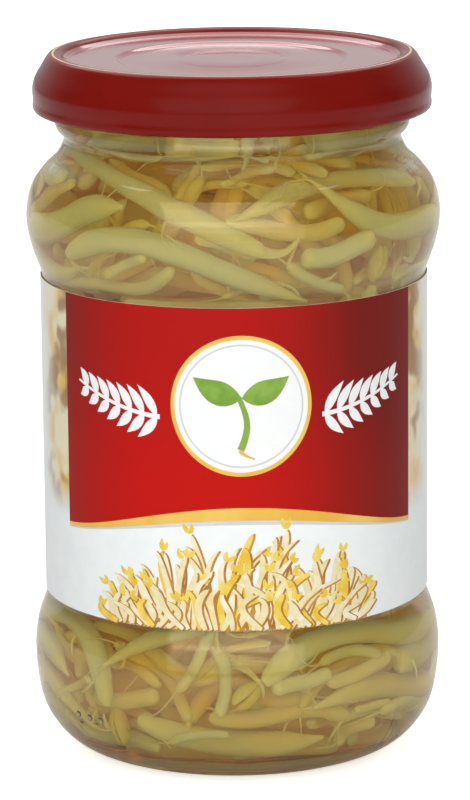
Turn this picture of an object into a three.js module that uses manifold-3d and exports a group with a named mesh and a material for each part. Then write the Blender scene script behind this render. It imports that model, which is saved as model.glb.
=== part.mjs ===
// A glass jar of bean sprouts in brine, with a paper label and a steel twist-off lid.
// Millimetres, +Z up. The origin is the middle of the circle that the jar stands on.
import * as THREE from "three";
import { mergeVertices } from "three/addons/utils/BufferGeometryUtils.js";
import Module from "manifold-3d";

const wasm = await Module();
wasm.setup();

// Driving dimensions
const SIDES = 36; // flats round every turned piece
const GAP = 0.35; // clear space kept between neighbouring pieces
const BASE_RING = 26; // radius of the ring that the jar stands on
const FLOOR_TOP = 3.4; // top of the glass floor inside
const WALL = 2.3; // glass wall behind the label
const PANEL_RADIUS = 33.8; // glass behind the label
const PANEL_LOW = 27.6;
const PANEL_HIGH = 85.5;
const ROLL_RADIUS = 36.1; // lower roll, the part that bumps its neighbours on a shelf
const SHOULDER_RADIUS = 36.3; // upper roll
const NECK_RADIUS = 29.6;
const FINISH_RADIUS = 30.1; // glass wall under the lid, without its threads
const BORE_RADIUS = 27.3; // inside of the neck
const RIM_TOP = 121.5;
const BRINE_TOP = 117.5;
const LABEL = { low: 28.4, high: 84.7, thickness: 0.3, lap: 9, lapLift: 0.65 }; // lap in degrees
const LID = { low: 113.5, top: 123.5, radius: 34.8, ridge: 31.2, panel: 122.4, sheet: 0.5, button: 20 };
const STARTS = 4; // thread ridges on the glass, and lugs on the lid
const THREAD = { reach: 1.4, height: 1.7, before: 6, after: 54 }; // before and after a closed lug, degrees
const LUG = { reach: 30.8, root: 33.4, low: 113.6, high: 114.9, span: 18 };
const LIFT_PER_RADIAN = 1.94; // how far the lid rises as it turns
const SPROUT_SIDES = 5;
const SPROUT_RINGS = 9; // rings of corners along one sprout
const SEED_LEAF = { half: 3.2, width: 2.3, depth: 1.8 }; // the yellow head, as half sizes

const TURN = 2 * Math.PI;
const radians = THREE.MathUtils.degToRad;
const lerp = THREE.MathUtils.lerp;
const FLAT = Math.cos(Math.PI / SIDES); // how far in the middle of a flat lies

// Outlines as pairs of radius and height

/** Points along a smooth curve through the given pairs. */
function rounded(pairs, steps) {
  const curve = new THREE.SplineCurve(pairs.map(([r, z]) => new THREE.Vector2(r, z)));
  return curve.getPoints(steps).map((p) => [p.x, p.y]);
}

/** A closed turned body from an outline that runs up the outside and back down the inside. */
function turned(outline) {
  const points = outline.map(([r, z]) => new THREE.Vector2(r, z));
  return new THREE.LatheGeometry(points, SIDES).rotateX(Math.PI / 2);
}

const outerRoll = rounded(
  [
    [BASE_RING, 0],
    [29.8, 1.4],
    [33.1, 4.6],
    [35.2, 9],
    [ROLL_RADIUS, 16.5],
    [35.6, 22],
    [34.3, 26],
    [PANEL_RADIUS, PANEL_LOW],
  ],
  7,
);
const outerShoulder = rounded(
  [
    [PANEL_RADIUS, PANEL_HIGH],
    [35.5, 90.2],
    [SHOULDER_RADIUS, 95.3],
    [35.4, 100.2],
    [33.2, 103.5],
    [30.8, 105.9],
    [NECK_RADIUS, 108.2],
  ],
  7,
);
const innerShoulder = rounded(
  [
    [BORE_RADIUS, 108.6],
    [29.4, 105],
    [32.6, 101],
    [SHOULDER_RADIUS - WALL - 0.2, 95.3],
    [33.1, 90.2],
    [PANEL_RADIUS - WALL, PANEL_HIGH],
  ],
  5,
);
const innerRoll = rounded(
  [
    [PANEL_RADIUS - WALL, PANEL_LOW],
    [33.1, 22.2],
    [ROLL_RADIUS - WALL - 0.1, 16.5],
    [33, 10.2],
    [29.8, 5.5],
    [24.5, FLOOR_TOP],
  ],
  6,
);
// From the bore down to the middle of the floor
const innerWall = [[BORE_RADIUS, RIM_TOP - 1.6], ...innerShoulder, ...innerRoll, [0, FLOOR_TOP - 0.3]];

/** Moves a falling inner outline inward by a distance, so that it clears the outline. */
function shrunk(outline, distance) {
  return outline.map(([r, z], i) => {
    const [r0, z0] = outline[Math.max(i - 1, 0)];
    const [r1, z1] = outline[Math.min(i + 1, outline.length - 1)];
    const length = Math.hypot(r1 - r0, z1 - z0);
    const inward = r + ((z1 - z0) / length) * distance;
    return [Math.max(inward, 0), z - ((r1 - r0) / length) * distance];
  });
}

// Solids

/** The closed solid of a geometry, with corners at one place joined. */
function solidOf(geometry) {
  const plain = geometry.clone();
  plain.deleteAttribute("normal");
  plain.deleteAttribute("uv");
  const merged = mergeVertices(plain, 1e-3);
  const corners = merged.index.array;
  const kept = [];
  for (let i = 0; i < corners.length; i += 3) {
    const [a, b, c] = corners.slice(i, i + 3);
    if (a !== b && b !== c && c !== a) kept.push(a, b, c);
  }
  const vertProperties = merged.attributes.position.array;
  return new wasm.Manifold(new wasm.Mesh({ numProp: 3, vertProperties, triVerts: new Uint32Array(kept) }));
}

/** A geometry from a closed solid. */
function geometryOf(solid) {
  const mesh = solid.getMesh();
  const geometry = new THREE.BufferGeometry();
  geometry.setAttribute("position", new THREE.BufferAttribute(mesh.vertProperties, 3));
  geometry.setIndex(new THREE.BufferAttribute(mesh.triVerts, 1));
  return geometry;
}

/** A closed body through rings of corners, each counter-clockwise when seen against the way the rings run. */
function lofted(rings) {
  const count = rings[0].length;
  const last = (rings.length - 1) * count;
  const faces = [];
  for (let ring = 0; ring < rings.length - 1; ring += 1) {
    for (let k = 0; k < count; k += 1) {
      const here = ring * count + k;
      const next = ring * count + ((k + 1) % count);
      faces.push(here, next, next + count, here, next + count, here + count);
    }
  }
  for (let k = 1; k < count - 1; k += 1) {
    faces.push(0, k + 1, k, last, last + k, last + k + 1);
  }
  const geometry = new THREE.BufferGeometry();
  const corners = rings.flat().flatMap((p) => [p.x, p.y, p.z]);
  geometry.setAttribute("position", new THREE.Float32BufferAttribute(corners, 3));
  geometry.setIndex(faces);
  return geometry;
}

/** A point at a radius, an angle in radians and a height. */
function polar(radius, angle, height) {
  return new THREE.Vector3(radius * Math.cos(angle), radius * Math.sin(angle), height);
}

// Glass jar

/** One inclined thread ridge, from a little before a closed lug to the gap where the lug lifts out. */
function threadRidge(lugAngle) {
  const steps = 4;
  const rings = [];
  for (let i = 0; i <= steps; i += 1) {
    const ahead = radians(lerp(-THREAD.before, THREAD.after, i / steps));
    const angle = lugAngle + ahead;
    const under = LUG.high + 0.6 + LIFT_PER_RADIAN * ahead;
    const root = FINISH_RADIUS - 0.6;
    const crest = FINISH_RADIUS + THREAD.reach;
    rings.push([
      polar(root, angle, under + THREAD.height),
      polar(crest, angle, under + THREAD.height * 0.5),
      polar(crest, angle, under),
      polar(root, angle, under - 0.1),
    ]);
  }
  return solidOf(lofted(rings));
}

/** The jar: floor pushed up in the middle, rolls, panel, neck, transfer bead, finish and threads. */
function glassJar() {
  const outline = [
    [0, 1.4],
    [21, 1],
    [BASE_RING - 2, 0],
    ...outerRoll,
    ...outerShoulder,
    [NECK_RADIUS, 109.7],
    [30.9, 110.6],
    [30.9, 112.3],
    [FINISH_RADIUS, 113],
    [FINISH_RADIUS, RIM_TOP - 1.6],
    [29.5, RIM_TOP - 0.3],
    [28.7, RIM_TOP],
    [27.8, RIM_TOP - 0.4],
    ...innerWall,
  ];
  let jar = solidOf(turned(outline));
  for (let k = 0; k < STARTS; k += 1) {
    jar = jar.add(threadRidge(((k + 0.5) * TURN) / STARTS));
  }
  return geometryOf(jar);
}

// Label

/** The paper label: one strip round the panel, whose end laps over its start at the back. */
function label() {
  const steps = 42;
  const inner = PANEL_RADIUS + GAP;
  const behind = Math.PI / 2;
  const lap = radians(LABEL.lap);
  const path = [];
  for (let i = 0; i <= steps; i += 1) {
    const turn = lerp(0, TURN + lap, i / steps);
    const climb = THREE.MathUtils.smoothstep(turn, TURN - 2 * lap, TURN - lap * 0.4);
    path.push([inner + climb * LABEL.lapLift, behind + turn]);
  }
  const face = path.map(([r, a]) => polar(r + LABEL.thickness, a, 0));
  const back = path.map(([r, a]) => polar(r, a, 0)).reverse();
  const strip = new THREE.Shape([...face, ...back].map((p) => new THREE.Vector2(p.x, p.y)));
  const height = LABEL.high - LABEL.low;
  return new THREE.ExtrudeGeometry(strip, { depth: height, bevelEnabled: false }).translate(0, 0, LABEL.low);
}

// Lid and its sealing ring

/** One lug, pressed inward from the curl under a thread ridge. */
function lug(angle) {
  const half = radians(LUG.span / 2);
  const rings = [-1, 0, 1].map((side) => [
    polar(LUG.reach, angle + side * half, LUG.high),
    polar(LUG.root, angle + side * half, LUG.high),
    polar(LUG.root, angle + side * half, LUG.low),
    polar(LUG.reach, angle + side * half, LUG.low),
  ]);
  return solidOf(lofted(rings));
}

/** The pressed lid: curl, wall, shoulder, raised ridge, recessed panel and safety step. */
function lidShell() {
  const under = LID.panel - LID.sheet;
  const outline = [
    [33.4, LID.low],
    [34.3, LID.low + 0.1],
    [LID.radius, LID.low + 0.9],
    [LID.radius, LID.low + 4.5],
    [34.35, LID.low + 5.9],
    [32.4, LID.top - 0.8],
    [LID.ridge + 0.5, LID.top - 0.1],
    [LID.ridge, LID.top],
    [LID.ridge - 1, LID.top],
    [29.5, LID.top - 0.4],
    [28.8, LID.panel],
    [LID.button + 0.4, LID.panel],
    [LID.button - 0.6, LID.panel - LID.sheet],
    [0, LID.panel - LID.sheet],
    [0, under - LID.sheet],
    [LID.button - 0.4, under - LID.sheet],
    [LID.button + 0.6, under],
    [29, under],
    [29.9, LID.top - 0.8],
    [30.4, LID.top - 0.5],
    [LID.ridge + 0.2, LID.top - 0.6],
    [32, LID.top - 1.1],
    [33.9, LID.low + 5.7],
    [LID.radius - LID.sheet, LID.low + 4.4],
    [LID.radius - LID.sheet, LID.low + 2.2],
    [33.3, LID.low + 1.7],
    [32.8, LID.low + 1],
    [32.8, LID.low + 0.4],
    [33.4, LID.low],
  ];
  let lid = solidOf(turned(outline));
  for (let k = 0; k < STARTS; k += 1) {
    lid = lid.add(lug(((k + 0.5) * TURN) / STARTS));
  }
  return geometryOf(lid);
}

/** The ring of sealing compound in the channel under the lid's ridge. */
function sealRing() {
  const low = RIM_TOP + GAP;
  return turned([
    [29.5, low],
    [31.3, low],
    [31.1, low + 0.8],
    [30.5, low + 0.8],
    [29.5, low],
  ]);
}

// Sprouts: each lies on the glass at both ends and may dip under its neighbours between them

let drawn = 20261;

/** The next number of the seeded draw, from 0 up to 1. */
function draw() {
  drawn = (drawn * 48271) % 2147483647;
  return drawn / 2147483647;
}

const wallSamples = innerWall.flatMap(([r, z], i) => {
  const [r1, z1] = innerWall[Math.min(i + 1, innerWall.length - 1)];
  const pieces = Math.max(1, Math.ceil(Math.hypot(r1 - r, z1 - z)));
  return Array.from({ length: pieces }, (_, k) => [lerp(r, r1, k / pieces) * FLAT, lerp(z, z1, k / pieces)]);
});

/** The largest radius at which something of this half thickness clears the glass at a height. */
function room(height, half) {
  const reach = half + GAP;
  let radius = Infinity;
  for (const [r, z] of wallSamples) {
    const away = Math.abs(z - height);
    if (away < reach) radius = Math.min(radius, r - Math.sqrt(reach * reach - away * away));
  }
  return radius;
}

/** How thick a sprout is along its length, as a share of its full thickness: root, stem, neck. */
function girth(along) {
  const root = THREE.MathUtils.smoothstep(along, -0.09, 0.27);
  const neck = 1 - 0.4 * THREE.MathUtils.smoothstep(along, 0.84, 1.04);
  return root * neck;
}

const BANDS = {
  foot: { low: 7, high: 33, tilt: 1, length: [44, 66], dip: 4, count: 14 },
  middle: { low: 27, high: 90, tilt: 1.2, length: [48, 66], dip: 6, count: 8 },
  head: { low: 83, high: 115, tilt: 1.2, length: [42, 66], dip: 4, count: 16 },
};
const FLOOR_STEMS = 4;
const HEAD_EVERY = 5; // one sprout in so many still has its seed leaves

/** One try at a sprout on the wall, as ring centres and half thicknesses, or null if it leaves its band. */
function wallTry(band, shorter) {
  const length = lerp(band.length[0], band.length[1], draw()) * shorter;
  const thick = lerp(1.8, 2.4, draw());
  const way = draw() < 0.5 ? -1 : 1;
  const dip = band.dip * draw();
  let angle = draw() * TURN;
  let height = lerp(band.low, band.high, draw());
  let heading = (draw() - 0.5) * 2 * band.tilt;
  const bend = (draw() - 0.5) * 0.1;
  const wave = (draw() - 0.5) * 0.1;
  const step = length / (SPROUT_RINGS - 1);
  const rings = [];
  for (let i = 0; i < SPROUT_RINGS; i += 1) {
    const along = i / (SPROUT_RINGS - 1);
    const half = Math.max(thick * girth(along), 0.6);
    const radius = room(height, half) - dip * Math.sin(Math.PI * along) ** 2;
    if (height < band.low || height > band.high) return null;
    rings.push({ centre: polar(radius, angle, height), half });
    heading += (bend + wave * Math.sin(TURN * along)) * step;
    angle += (way * step * Math.cos(heading)) / radius;
    height += step * Math.sin(heading);
  }
  return rings;
}

/** One try at a sprout lying across the floor. */
function floorTry() {
  const length = lerp(36, 44, draw());
  const thick = lerp(1.8, 2.3, draw());
  const turn = draw() * TURN;
  const aside = (draw() - 0.5) * 38;
  const bow = (draw() - 0.5) * 12;
  const rings = [];
  for (let i = 0; i < SPROUT_RINGS; i += 1) {
    const along = i / (SPROUT_RINGS - 1);
    const half = Math.max(thick * girth(along), 0.6);
    const x = (along - 0.5) * length;
    const y = aside + bow * (1 - (2 * along - 1) ** 2);
    const centre = new THREE.Vector3(
      x * Math.cos(turn) - y * Math.sin(turn),
      x * Math.sin(turn) + y * Math.cos(turn),
      FLOOR_TOP + GAP + half,
    );
    if (Math.hypot(centre.x, centre.y) > room(centre.z, half + 0.05)) return null;
    rings.push({ centre, half });
  }
  return rings;
}

/** Where the seed leaves sit past the end of a sprout, with their own axes. */
function seedLeafPlace(rings) {
  const end = rings[rings.length - 1];
  const along = end.centre.clone().sub(rings[rings.length - 2].centre).normalize();
  const centre = end.centre.clone().addScaledVector(along, SEED_LEAF.half + GAP + 0.1);
  const limit = room(centre.z, SEED_LEAF.width + 0.1);
  const radius = Math.hypot(centre.x, centre.y);
  if (radius > limit) {
    centre.x *= limit / radius;
    centre.y *= limit / radius;
  }
  const out = new THREE.Vector3(centre.x, centre.y, 0).normalize();
  const side = new THREE.Vector3().crossVectors(along, out).normalize();
  return { centre, along, side, out: new THREE.Vector3().crossVectors(side, along) };
}

/** Balls close together along a sprout, and one for its seed leaves, to test what clears what. */
function ballsAlong(rings, leaf) {
  const balls = [];
  for (let i = 0; i < rings.length - 1; i += 1) {
    const a = rings[i];
    const b = rings[i + 1];
    for (let k = 0; k < 4; k += 1) {
      const centre = a.centre.clone().lerp(b.centre, k / 4);
      balls.push({ centre, half: lerp(a.half, b.half, k / 4) });
    }
  }
  balls.push(rings[rings.length - 1]);
  if (leaf) balls.push({ centre: leaf.centre, half: SEED_LEAF.half });
  return balls;
}

/** True if every ball, also between the rings, clears the glass. */
function clearsWall(balls) {
  return balls.every(({ centre, half }) => Math.hypot(centre.x, centre.y) < room(centre.z, half) + 0.12);
}

/** True if every new ball clears every placed one. */
function clears(balls, placed) {
  return balls.every((ball) =>
    placed.every((other) => ball.centre.distanceTo(other.centre) > ball.half + other.half + GAP + 0.12),
  );
}

/** Places every sprout by seeded tries, each clear of those before it. */
function placedSprouts() {
  const plan = Array(FLOOR_STEMS).fill(null);
  for (const band of Object.values(BANDS)) plan.push(...Array(band.count).fill(band));
  const placed = [];
  const sprouts = [];
  plan.forEach((band, index) => {
    for (let attempt = 0; ; attempt += 1) {
      const rings = band ? wallTry(band, Math.max(0.5, 1 - attempt / 2400)) : floorTry();
      if (!rings) continue;
      const leaf = band && index % HEAD_EVERY === 0 ? seedLeafPlace(rings) : null;
      const balls = ballsAlong(rings, leaf);
      if (!clearsWall(ballsAlong(rings, null)) || !clears(balls, placed)) continue;
      placed.push(...balls);
      sprouts.push({ rings, leaf });
      break;
    }
  });
  return sprouts;
}

/** The body of one sprout, or with extra thickness the hole it lies in. */
function sproutBody(rings, extra) {
  const count = rings.length;
  const tangents = rings.map((_, i) =>
    rings[Math.min(i + 1, count - 1)].centre.clone().sub(rings[Math.max(i - 1, 0)].centre).normalize(),
  );
  let side = new THREE.Vector3(0, 0, 1).cross(tangents[0]).normalize();
  const hoops = rings.map(({ centre, half }, i) => {
    side = side.addScaledVector(tangents[i], -side.dot(tangents[i])).normalize();
    const up = new THREE.Vector3().crossVectors(tangents[i], side);
    const reach = i === 0 ? -extra : i === count - 1 ? extra : 0;
    const middle = centre.clone().addScaledVector(tangents[i], reach);
    return Array.from({ length: SPROUT_SIDES }, (_, k) => {
      const turn = (k * TURN) / SPROUT_SIDES;
      return middle
        .clone()
        .addScaledVector(side, (half + extra) * Math.cos(turn))
        .addScaledVector(up, (half + extra) * Math.sin(turn));
    });
  });
  return lofted(hoops);
}

/** The two seed leaves of one head, joined, with the groove between them. */
function seedLeafBody({ centre, along, side, out }, extra) {
  const ball = new THREE.SphereGeometry(1, 8, 5).rotateZ(-Math.PI / 2);
  const places = ball.attributes.position;
  const corner = new THREE.Vector3();
  for (let i = 0; i < places.count; i += 1) {
    corner.fromBufferAttribute(places, i);
    const groove = extra ? 0 : 0.25 * Math.exp(-((corner.z / 0.3) ** 2));
    const place = centre
      .clone()
      .addScaledVector(along, corner.x * (SEED_LEAF.half + extra))
      .addScaledVector(side, corner.z * (SEED_LEAF.width + extra))
      .addScaledVector(out, corner.y * (1 - groove) * (SEED_LEAF.depth + extra));
    places.setXYZ(i, place.x, place.y, place.z);
  }
  return ball;
}

// Brine

/** The liquid, with a plain hole round every sprout that opens at the glass. */
function brine(sprouts) {
  const wall = shrunk(innerWall, GAP).filter(([, z]) => z < BRINE_TOP);
  let liquid = solidOf(turned([[0, BRINE_TOP], [BORE_RADIUS - GAP, BRINE_TOP], ...wall].reverse()));
  for (const { rings, leaf } of sprouts) {
    liquid = liquid.subtract(solidOf(sproutBody(rings, GAP * 1.15)));
    if (leaf) liquid = liquid.subtract(solidOf(seedLeafBody(leaf, GAP * 1.15)));
  }
  const bodies = liquid.simplify(0.06).decompose();
  const largest = bodies.reduce((a, b) => (b.volume() > a.volume() ? b : a));
  return geometryOf(largest);
}

// Finishes
const clear = { transparent: true, opacity: 0.4 };
const glass = new THREE.MeshStandardMaterial({ color: 0xcfd8cc, roughness: 0.05, ...clear });
const liquid = new THREE.MeshStandardMaterial({ color: 0xb7a468, roughness: 0.1, ...clear });
const lacquer = new THREE.MeshStandardMaterial({ color: 0x7c1a1f, roughness: 0.2, metalness: 0.3 });
const compound = new THREE.MeshStandardMaterial({ color: 0xe8e2d2, roughness: 0.6 });
const paper = new THREE.MeshStandardMaterial({ color: 0xa81c1c, roughness: 0.35 });
const stem = new THREE.MeshStandardMaterial({ color: 0xc8c095, roughness: 0.4 });
const seedLeaf = new THREE.MeshStandardMaterial({ color: 0xcdb245, roughness: 0.5 });

/** A named sub-part. */
function part(name, geometry, material) {
  const mesh = new THREE.Mesh(geometry, material);
  mesh.name = name;
  return mesh;
}

/** A two-figure number for a name. */
function numbered(name, index) {
  return `${name}_${String(index + 1).padStart(2, "0")}`;
}

const sprouts = placedSprouts();
const jarOfSprouts = new THREE.Group();
jarOfSprouts.add(part("glass_jar", glassJar(), glass));
jarOfSprouts.add(part("label", label(), paper));
jarOfSprouts.add(part("brine", brine(sprouts), liquid));
jarOfSprouts.add(part("lid_shell", lidShell(), lacquer));
jarOfSprouts.add(part("seal_ring", sealRing(), compound));
sprouts.forEach(({ rings }, index) => {
  jarOfSprouts.add(part(numbered("sprout", index), sproutBody(rings, 0), stem));
});
sprouts
  .filter(({ leaf }) => leaf)
  .forEach(({ leaf }, index) => {
    jarOfSprouts.add(part(numbered("seed_leaves", index), seedLeafBody(leaf, 0), seedLeaf));
  });

export default jarOfSprouts;
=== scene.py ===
"""A glass jar of bean sprouts in brine, with a paper label and a twist-off lid.

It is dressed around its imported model.
"""

from __future__ import annotations

import logging
import math
from collections.abc import Callable, Iterable, Sequence
from dataclasses import dataclass, field
from enum import Enum
from functools import cached_property

import bpy
import numpy as np
from mathutils import Matrix, Vector

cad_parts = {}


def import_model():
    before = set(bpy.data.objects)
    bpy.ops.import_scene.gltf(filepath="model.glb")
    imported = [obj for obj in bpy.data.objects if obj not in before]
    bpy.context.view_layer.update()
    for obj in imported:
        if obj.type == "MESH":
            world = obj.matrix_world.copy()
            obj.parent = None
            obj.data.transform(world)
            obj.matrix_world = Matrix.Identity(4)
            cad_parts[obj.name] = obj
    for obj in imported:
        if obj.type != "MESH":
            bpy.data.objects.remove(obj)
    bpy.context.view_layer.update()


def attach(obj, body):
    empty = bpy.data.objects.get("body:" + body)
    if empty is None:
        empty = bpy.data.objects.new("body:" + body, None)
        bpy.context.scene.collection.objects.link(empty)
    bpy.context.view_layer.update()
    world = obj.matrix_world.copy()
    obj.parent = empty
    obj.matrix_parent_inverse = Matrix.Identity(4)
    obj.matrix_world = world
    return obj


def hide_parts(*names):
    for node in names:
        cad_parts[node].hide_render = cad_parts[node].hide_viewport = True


log = logging.getLogger("jar")

MM = 0.001
TURN = 2 * math.pi
IMAGE_SIZE = (470, 800)

Pair = tuple[float, float]
Colour = tuple[float, float, float]


class Body(Enum):
    """The bodies of the model that pieces ride on."""

    JAR = "jar"
    SEAL = "seal"
    LID = "lid"


class Slot(Enum):
    """The record's material slots."""

    GLASS = "clear_glass"
    PAPER = "label_paper"
    BRINE = "brine"
    LACQUER = "lid_lacquer"
    COMPOUND = "sealing_compound"
    FLESH = "sprout_flesh"
    SEED_LEAF = "seed_leaf"


# Outlines and numbers


def lerp(low: float, high: float, share: float) -> float:
    """The value a share of the way from low to high."""
    return low + (high - low) * share


def smoothstep(value: float, low: float, high: float) -> float:
    """A smooth step from 0 at low to 1 at high."""
    share = min(max((value - low) / (high - low), 0.0), 1.0)
    return share * share * (3 - 2 * share)


def rounded(points: Sequence[Sequence[float]], steps: int) -> np.ndarray:
    """Samples a smooth curve through points.

    Args:
        points: The points that the curve passes through.
        steps: How many stretches to return.

    Returns:
        The samples, one row each, from the first point to the last.
    """
    known = np.array(points, float)
    last = len(known) - 1
    made = []
    for step in range(steps + 1):
        place = last * step / steps
        index = int(place)
        share = place - index
        before = known[max(index - 1, 0)]
        here = known[index]
        after = known[min(index + 1, last)]
        beyond = known[min(index + 2, last)]
        pull_here = (after - before) * 0.5
        pull_after = (beyond - here) * 0.5
        made.append(
            (2 * here - 2 * after + pull_here + pull_after) * share**3
            + (-3 * here + 3 * after - 2 * pull_here - pull_after) * share**2
            + pull_here * share
            + here
        )
    return np.array(made)


def unit(way: np.ndarray) -> np.ndarray:
    """A direction with a length of 1."""
    return way / np.linalg.norm(way)


def beside(points: np.ndarray) -> np.ndarray:
    """Finds the way square to a flat line, to its left.

    Args:
        points: Places along the line, one row of two numbers each.

    Returns:
        A direction with a length of 1 for each place.
    """
    way = np.gradient(points, axis=0)
    way /= np.maximum(np.linalg.norm(way, axis=1), 1e-9)[:, None]
    return np.column_stack([-way[:, 1], way[:, 0]])


class SeededDraw:
    """A repeatable draw of numbers from 0 up to 1."""

    FACTOR = 48271
    PRIME = 2147483647

    def __init__(self, seed: int) -> None:
        """Starts the draw at a seed."""
        self.state = seed

    def __call__(self) -> float:
        """The next number."""
        self.state = (self.state * self.FACTOR) % self.PRIME
        return self.state / self.PRIME

    def between(self, low: float, high: float) -> float:
        """A number between low and high."""
        return lerp(low, high, self())


# Work at the bench: small steps that every piece uses


def deselect() -> None:
    """Leaves nothing selected."""
    if bpy.context.mode != "OBJECT":
        bpy.ops.object.mode_set(mode="OBJECT")
    bpy.ops.object.select_all(action="DESELECT")


def pick(*pieces: bpy.types.Object) -> None:
    """Selects only these pieces, the last one active."""
    deselect()
    for piece in pieces:
        piece.select_set(True)
    bpy.context.view_layer.objects.active = pieces[-1]


def clean(piece: bpy.types.Object, near: float = 0.001 * MM) -> None:
    """Merges doubled corners and turns the faces outward.

    Args:
        piece: The piece.
        near: How close two corners are that count as one, in metres.
    """
    pick(piece)
    bpy.ops.object.mode_set(mode="EDIT")
    bpy.ops.mesh.select_all(action="SELECT")
    bpy.ops.mesh.remove_doubles(threshold=near)
    bpy.ops.mesh.dissolve_degenerate(threshold=near * 0.5)
    bpy.ops.mesh.normals_make_consistent(inside=False)
    bpy.ops.object.mode_set(mode="OBJECT")


def shade(piece: bpy.types.Object, degrees: float = 40) -> None:
    """Shades a piece smooth, with edges sharper than an angle left crisp."""
    pick(piece)
    bpy.ops.object.shade_smooth_by_angle(angle=math.radians(degrees))


def finish_with(piece: bpy.types.Object, kind: str, **settings: object) -> None:
    """Adds one modifier, sets it and applies it.

    Args:
        piece: The piece.
        kind: The modifier's type.
        settings: Its properties by name.
    """
    pick(piece)
    modifier = piece.modifiers.new(kind.lower(), kind)
    for name, value in settings.items():
        setattr(modifier, name, value)
    bpy.ops.object.modifier_apply(modifier=modifier.name)


def joined(name: str, parts: Sequence[bpy.types.Object]) -> bpy.types.Object:
    """Applies what modifiers the parts have and joins them into one named piece.

    Args:
        name: The piece's name.
        parts: Its parts, the last of which takes in the others.

    Returns:
        The piece.
    """
    pick(*parts)
    if any(part.modifiers for part in parts):
        bpy.ops.object.convert(target="MESH")
    if len(parts) > 1:
        bpy.ops.object.join()
    piece = bpy.context.view_layer.objects.active
    piece.name = name
    piece.data.name = name
    return piece


def dress(piece: bpy.types.Object, *materials: bpy.types.Material) -> None:
    """Gives a piece its materials, in the order of their slots.

    Args:
        piece: The piece.
        materials: Its materials.
    """
    piece.data.materials.clear()
    for material in materials:
        piece.data.materials.append(material)


def corners_of(piece: bpy.types.Object) -> np.ndarray:
    """The corners of a piece's mesh, one row each."""
    flat = np.zeros(len(piece.data.vertices) * 3)
    piece.data.vertices.foreach_get("co", flat)
    return flat.reshape(-1, 3)


def move_corners(piece: bpy.types.Object, places: np.ndarray) -> None:
    """Puts the corners of a piece's mesh at new places."""
    piece.data.vertices.foreach_set("co", np.ascontiguousarray(places, float).ravel())
    piece.data.update()


def note(piece: bpy.types.Object, name: str, values: np.ndarray) -> None:
    """Writes one number at every corner of a piece, for its material to read.

    Args:
        piece: The piece.
        name: The name that the material reads.
        values: The numbers, one for each corner.
    """
    found = piece.data.attributes.get(name) or piece.data.attributes.new(name, "FLOAT", "POINT")
    found.data.foreach_set("value", np.ascontiguousarray(values, float))


def turned(name: str, outline: Iterable[Pair], steps: int) -> bpy.types.Object:
    """Spins an outline round the jar's axis.

    Args:
        name: The piece's name.
        outline: Pairs of radius and height in millimetres, in order along the outline.
        steps: How many flats the turn has.

    Returns:
        The closed, cleaned piece.
    """
    pairs = [(float(r), float(z)) for r, z in outline]
    deselect()
    radius, height = pairs[0]
    bpy.ops.mesh.primitive_plane_add(size=MM, location=(radius * MM, 0, height * MM))
    piece = bpy.context.object
    bpy.ops.object.transform_apply(location=True)
    bpy.ops.object.mode_set(mode="EDIT")
    bpy.ops.mesh.select_all(action="SELECT")
    bpy.ops.mesh.merge(type="CENTER")
    for (r0, z0), (r1, z1) in zip(pairs, pairs[1:]):
        step = ((r1 - r0) * MM, 0, (z1 - z0) * MM)
        bpy.ops.mesh.extrude_region_move(TRANSFORM_OT_translate={"value": step})
    bpy.ops.mesh.select_all(action="SELECT")
    bpy.ops.mesh.spin(steps=steps, angle=TURN, center=(0, 0, 0), axis=(0, 0, 1))
    bpy.ops.object.mode_set(mode="OBJECT")
    piece.name = name
    piece.data.name = name
    clean(piece)
    return piece


def polar(radius: float, angle: float, height: float) -> tuple[float, float, float]:
    """A place in metres from a radius, angle and height in millimetres and radians."""
    return (radius * MM * math.cos(angle), radius * MM * math.sin(angle), height * MM)


def lofted(name: str, rows: Sequence[Sequence[Sequence[float]]]) -> bpy.types.Object:
    """A closed piece through rows of corners, with both ends filled.

    Args:
        name: The piece's name.
        rows: Rings of places in metres, all with the same count of corners.

    Returns:
        The piece.
    """
    count = len(rows[0])
    mesh = bpy.data.meshes.new(name)
    faces = []
    for ring in range(len(rows) - 1):
        for k in range(count):
            here = ring * count + k
            beside = ring * count + (k + 1) % count
            faces.append((here, beside, beside + count, here + count))
    last = (len(rows) - 1) * count
    faces.append(tuple(range(count - 1, -1, -1)))
    faces.append(tuple(range(last, last + count)))
    mesh.from_pydata([tuple(p) for row in rows for p in row], [], faces)
    piece = bpy.data.objects.new(name, mesh)
    bpy.context.collection.objects.link(piece)
    clean(piece)
    return piece


def settle(piece: bpy.types.Object, body: Body, slot: Slot, *nodes: str) -> bpy.types.Object:
    """Says what a finished piece rides on, and hides the model's nodes that it stands for.

    Args:
        piece: The piece.
        body: What it rides on.
        slot: Not used.
        nodes: The model's nodes that it stands for, if any.

    Returns:
        The same piece.
    """
    if nodes:
        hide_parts(*nodes)
    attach(piece, body.value)
    log.info("%s: %d faces on %s", piece.name, len(piece.data.polygons), body.value)
    return piece


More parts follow.
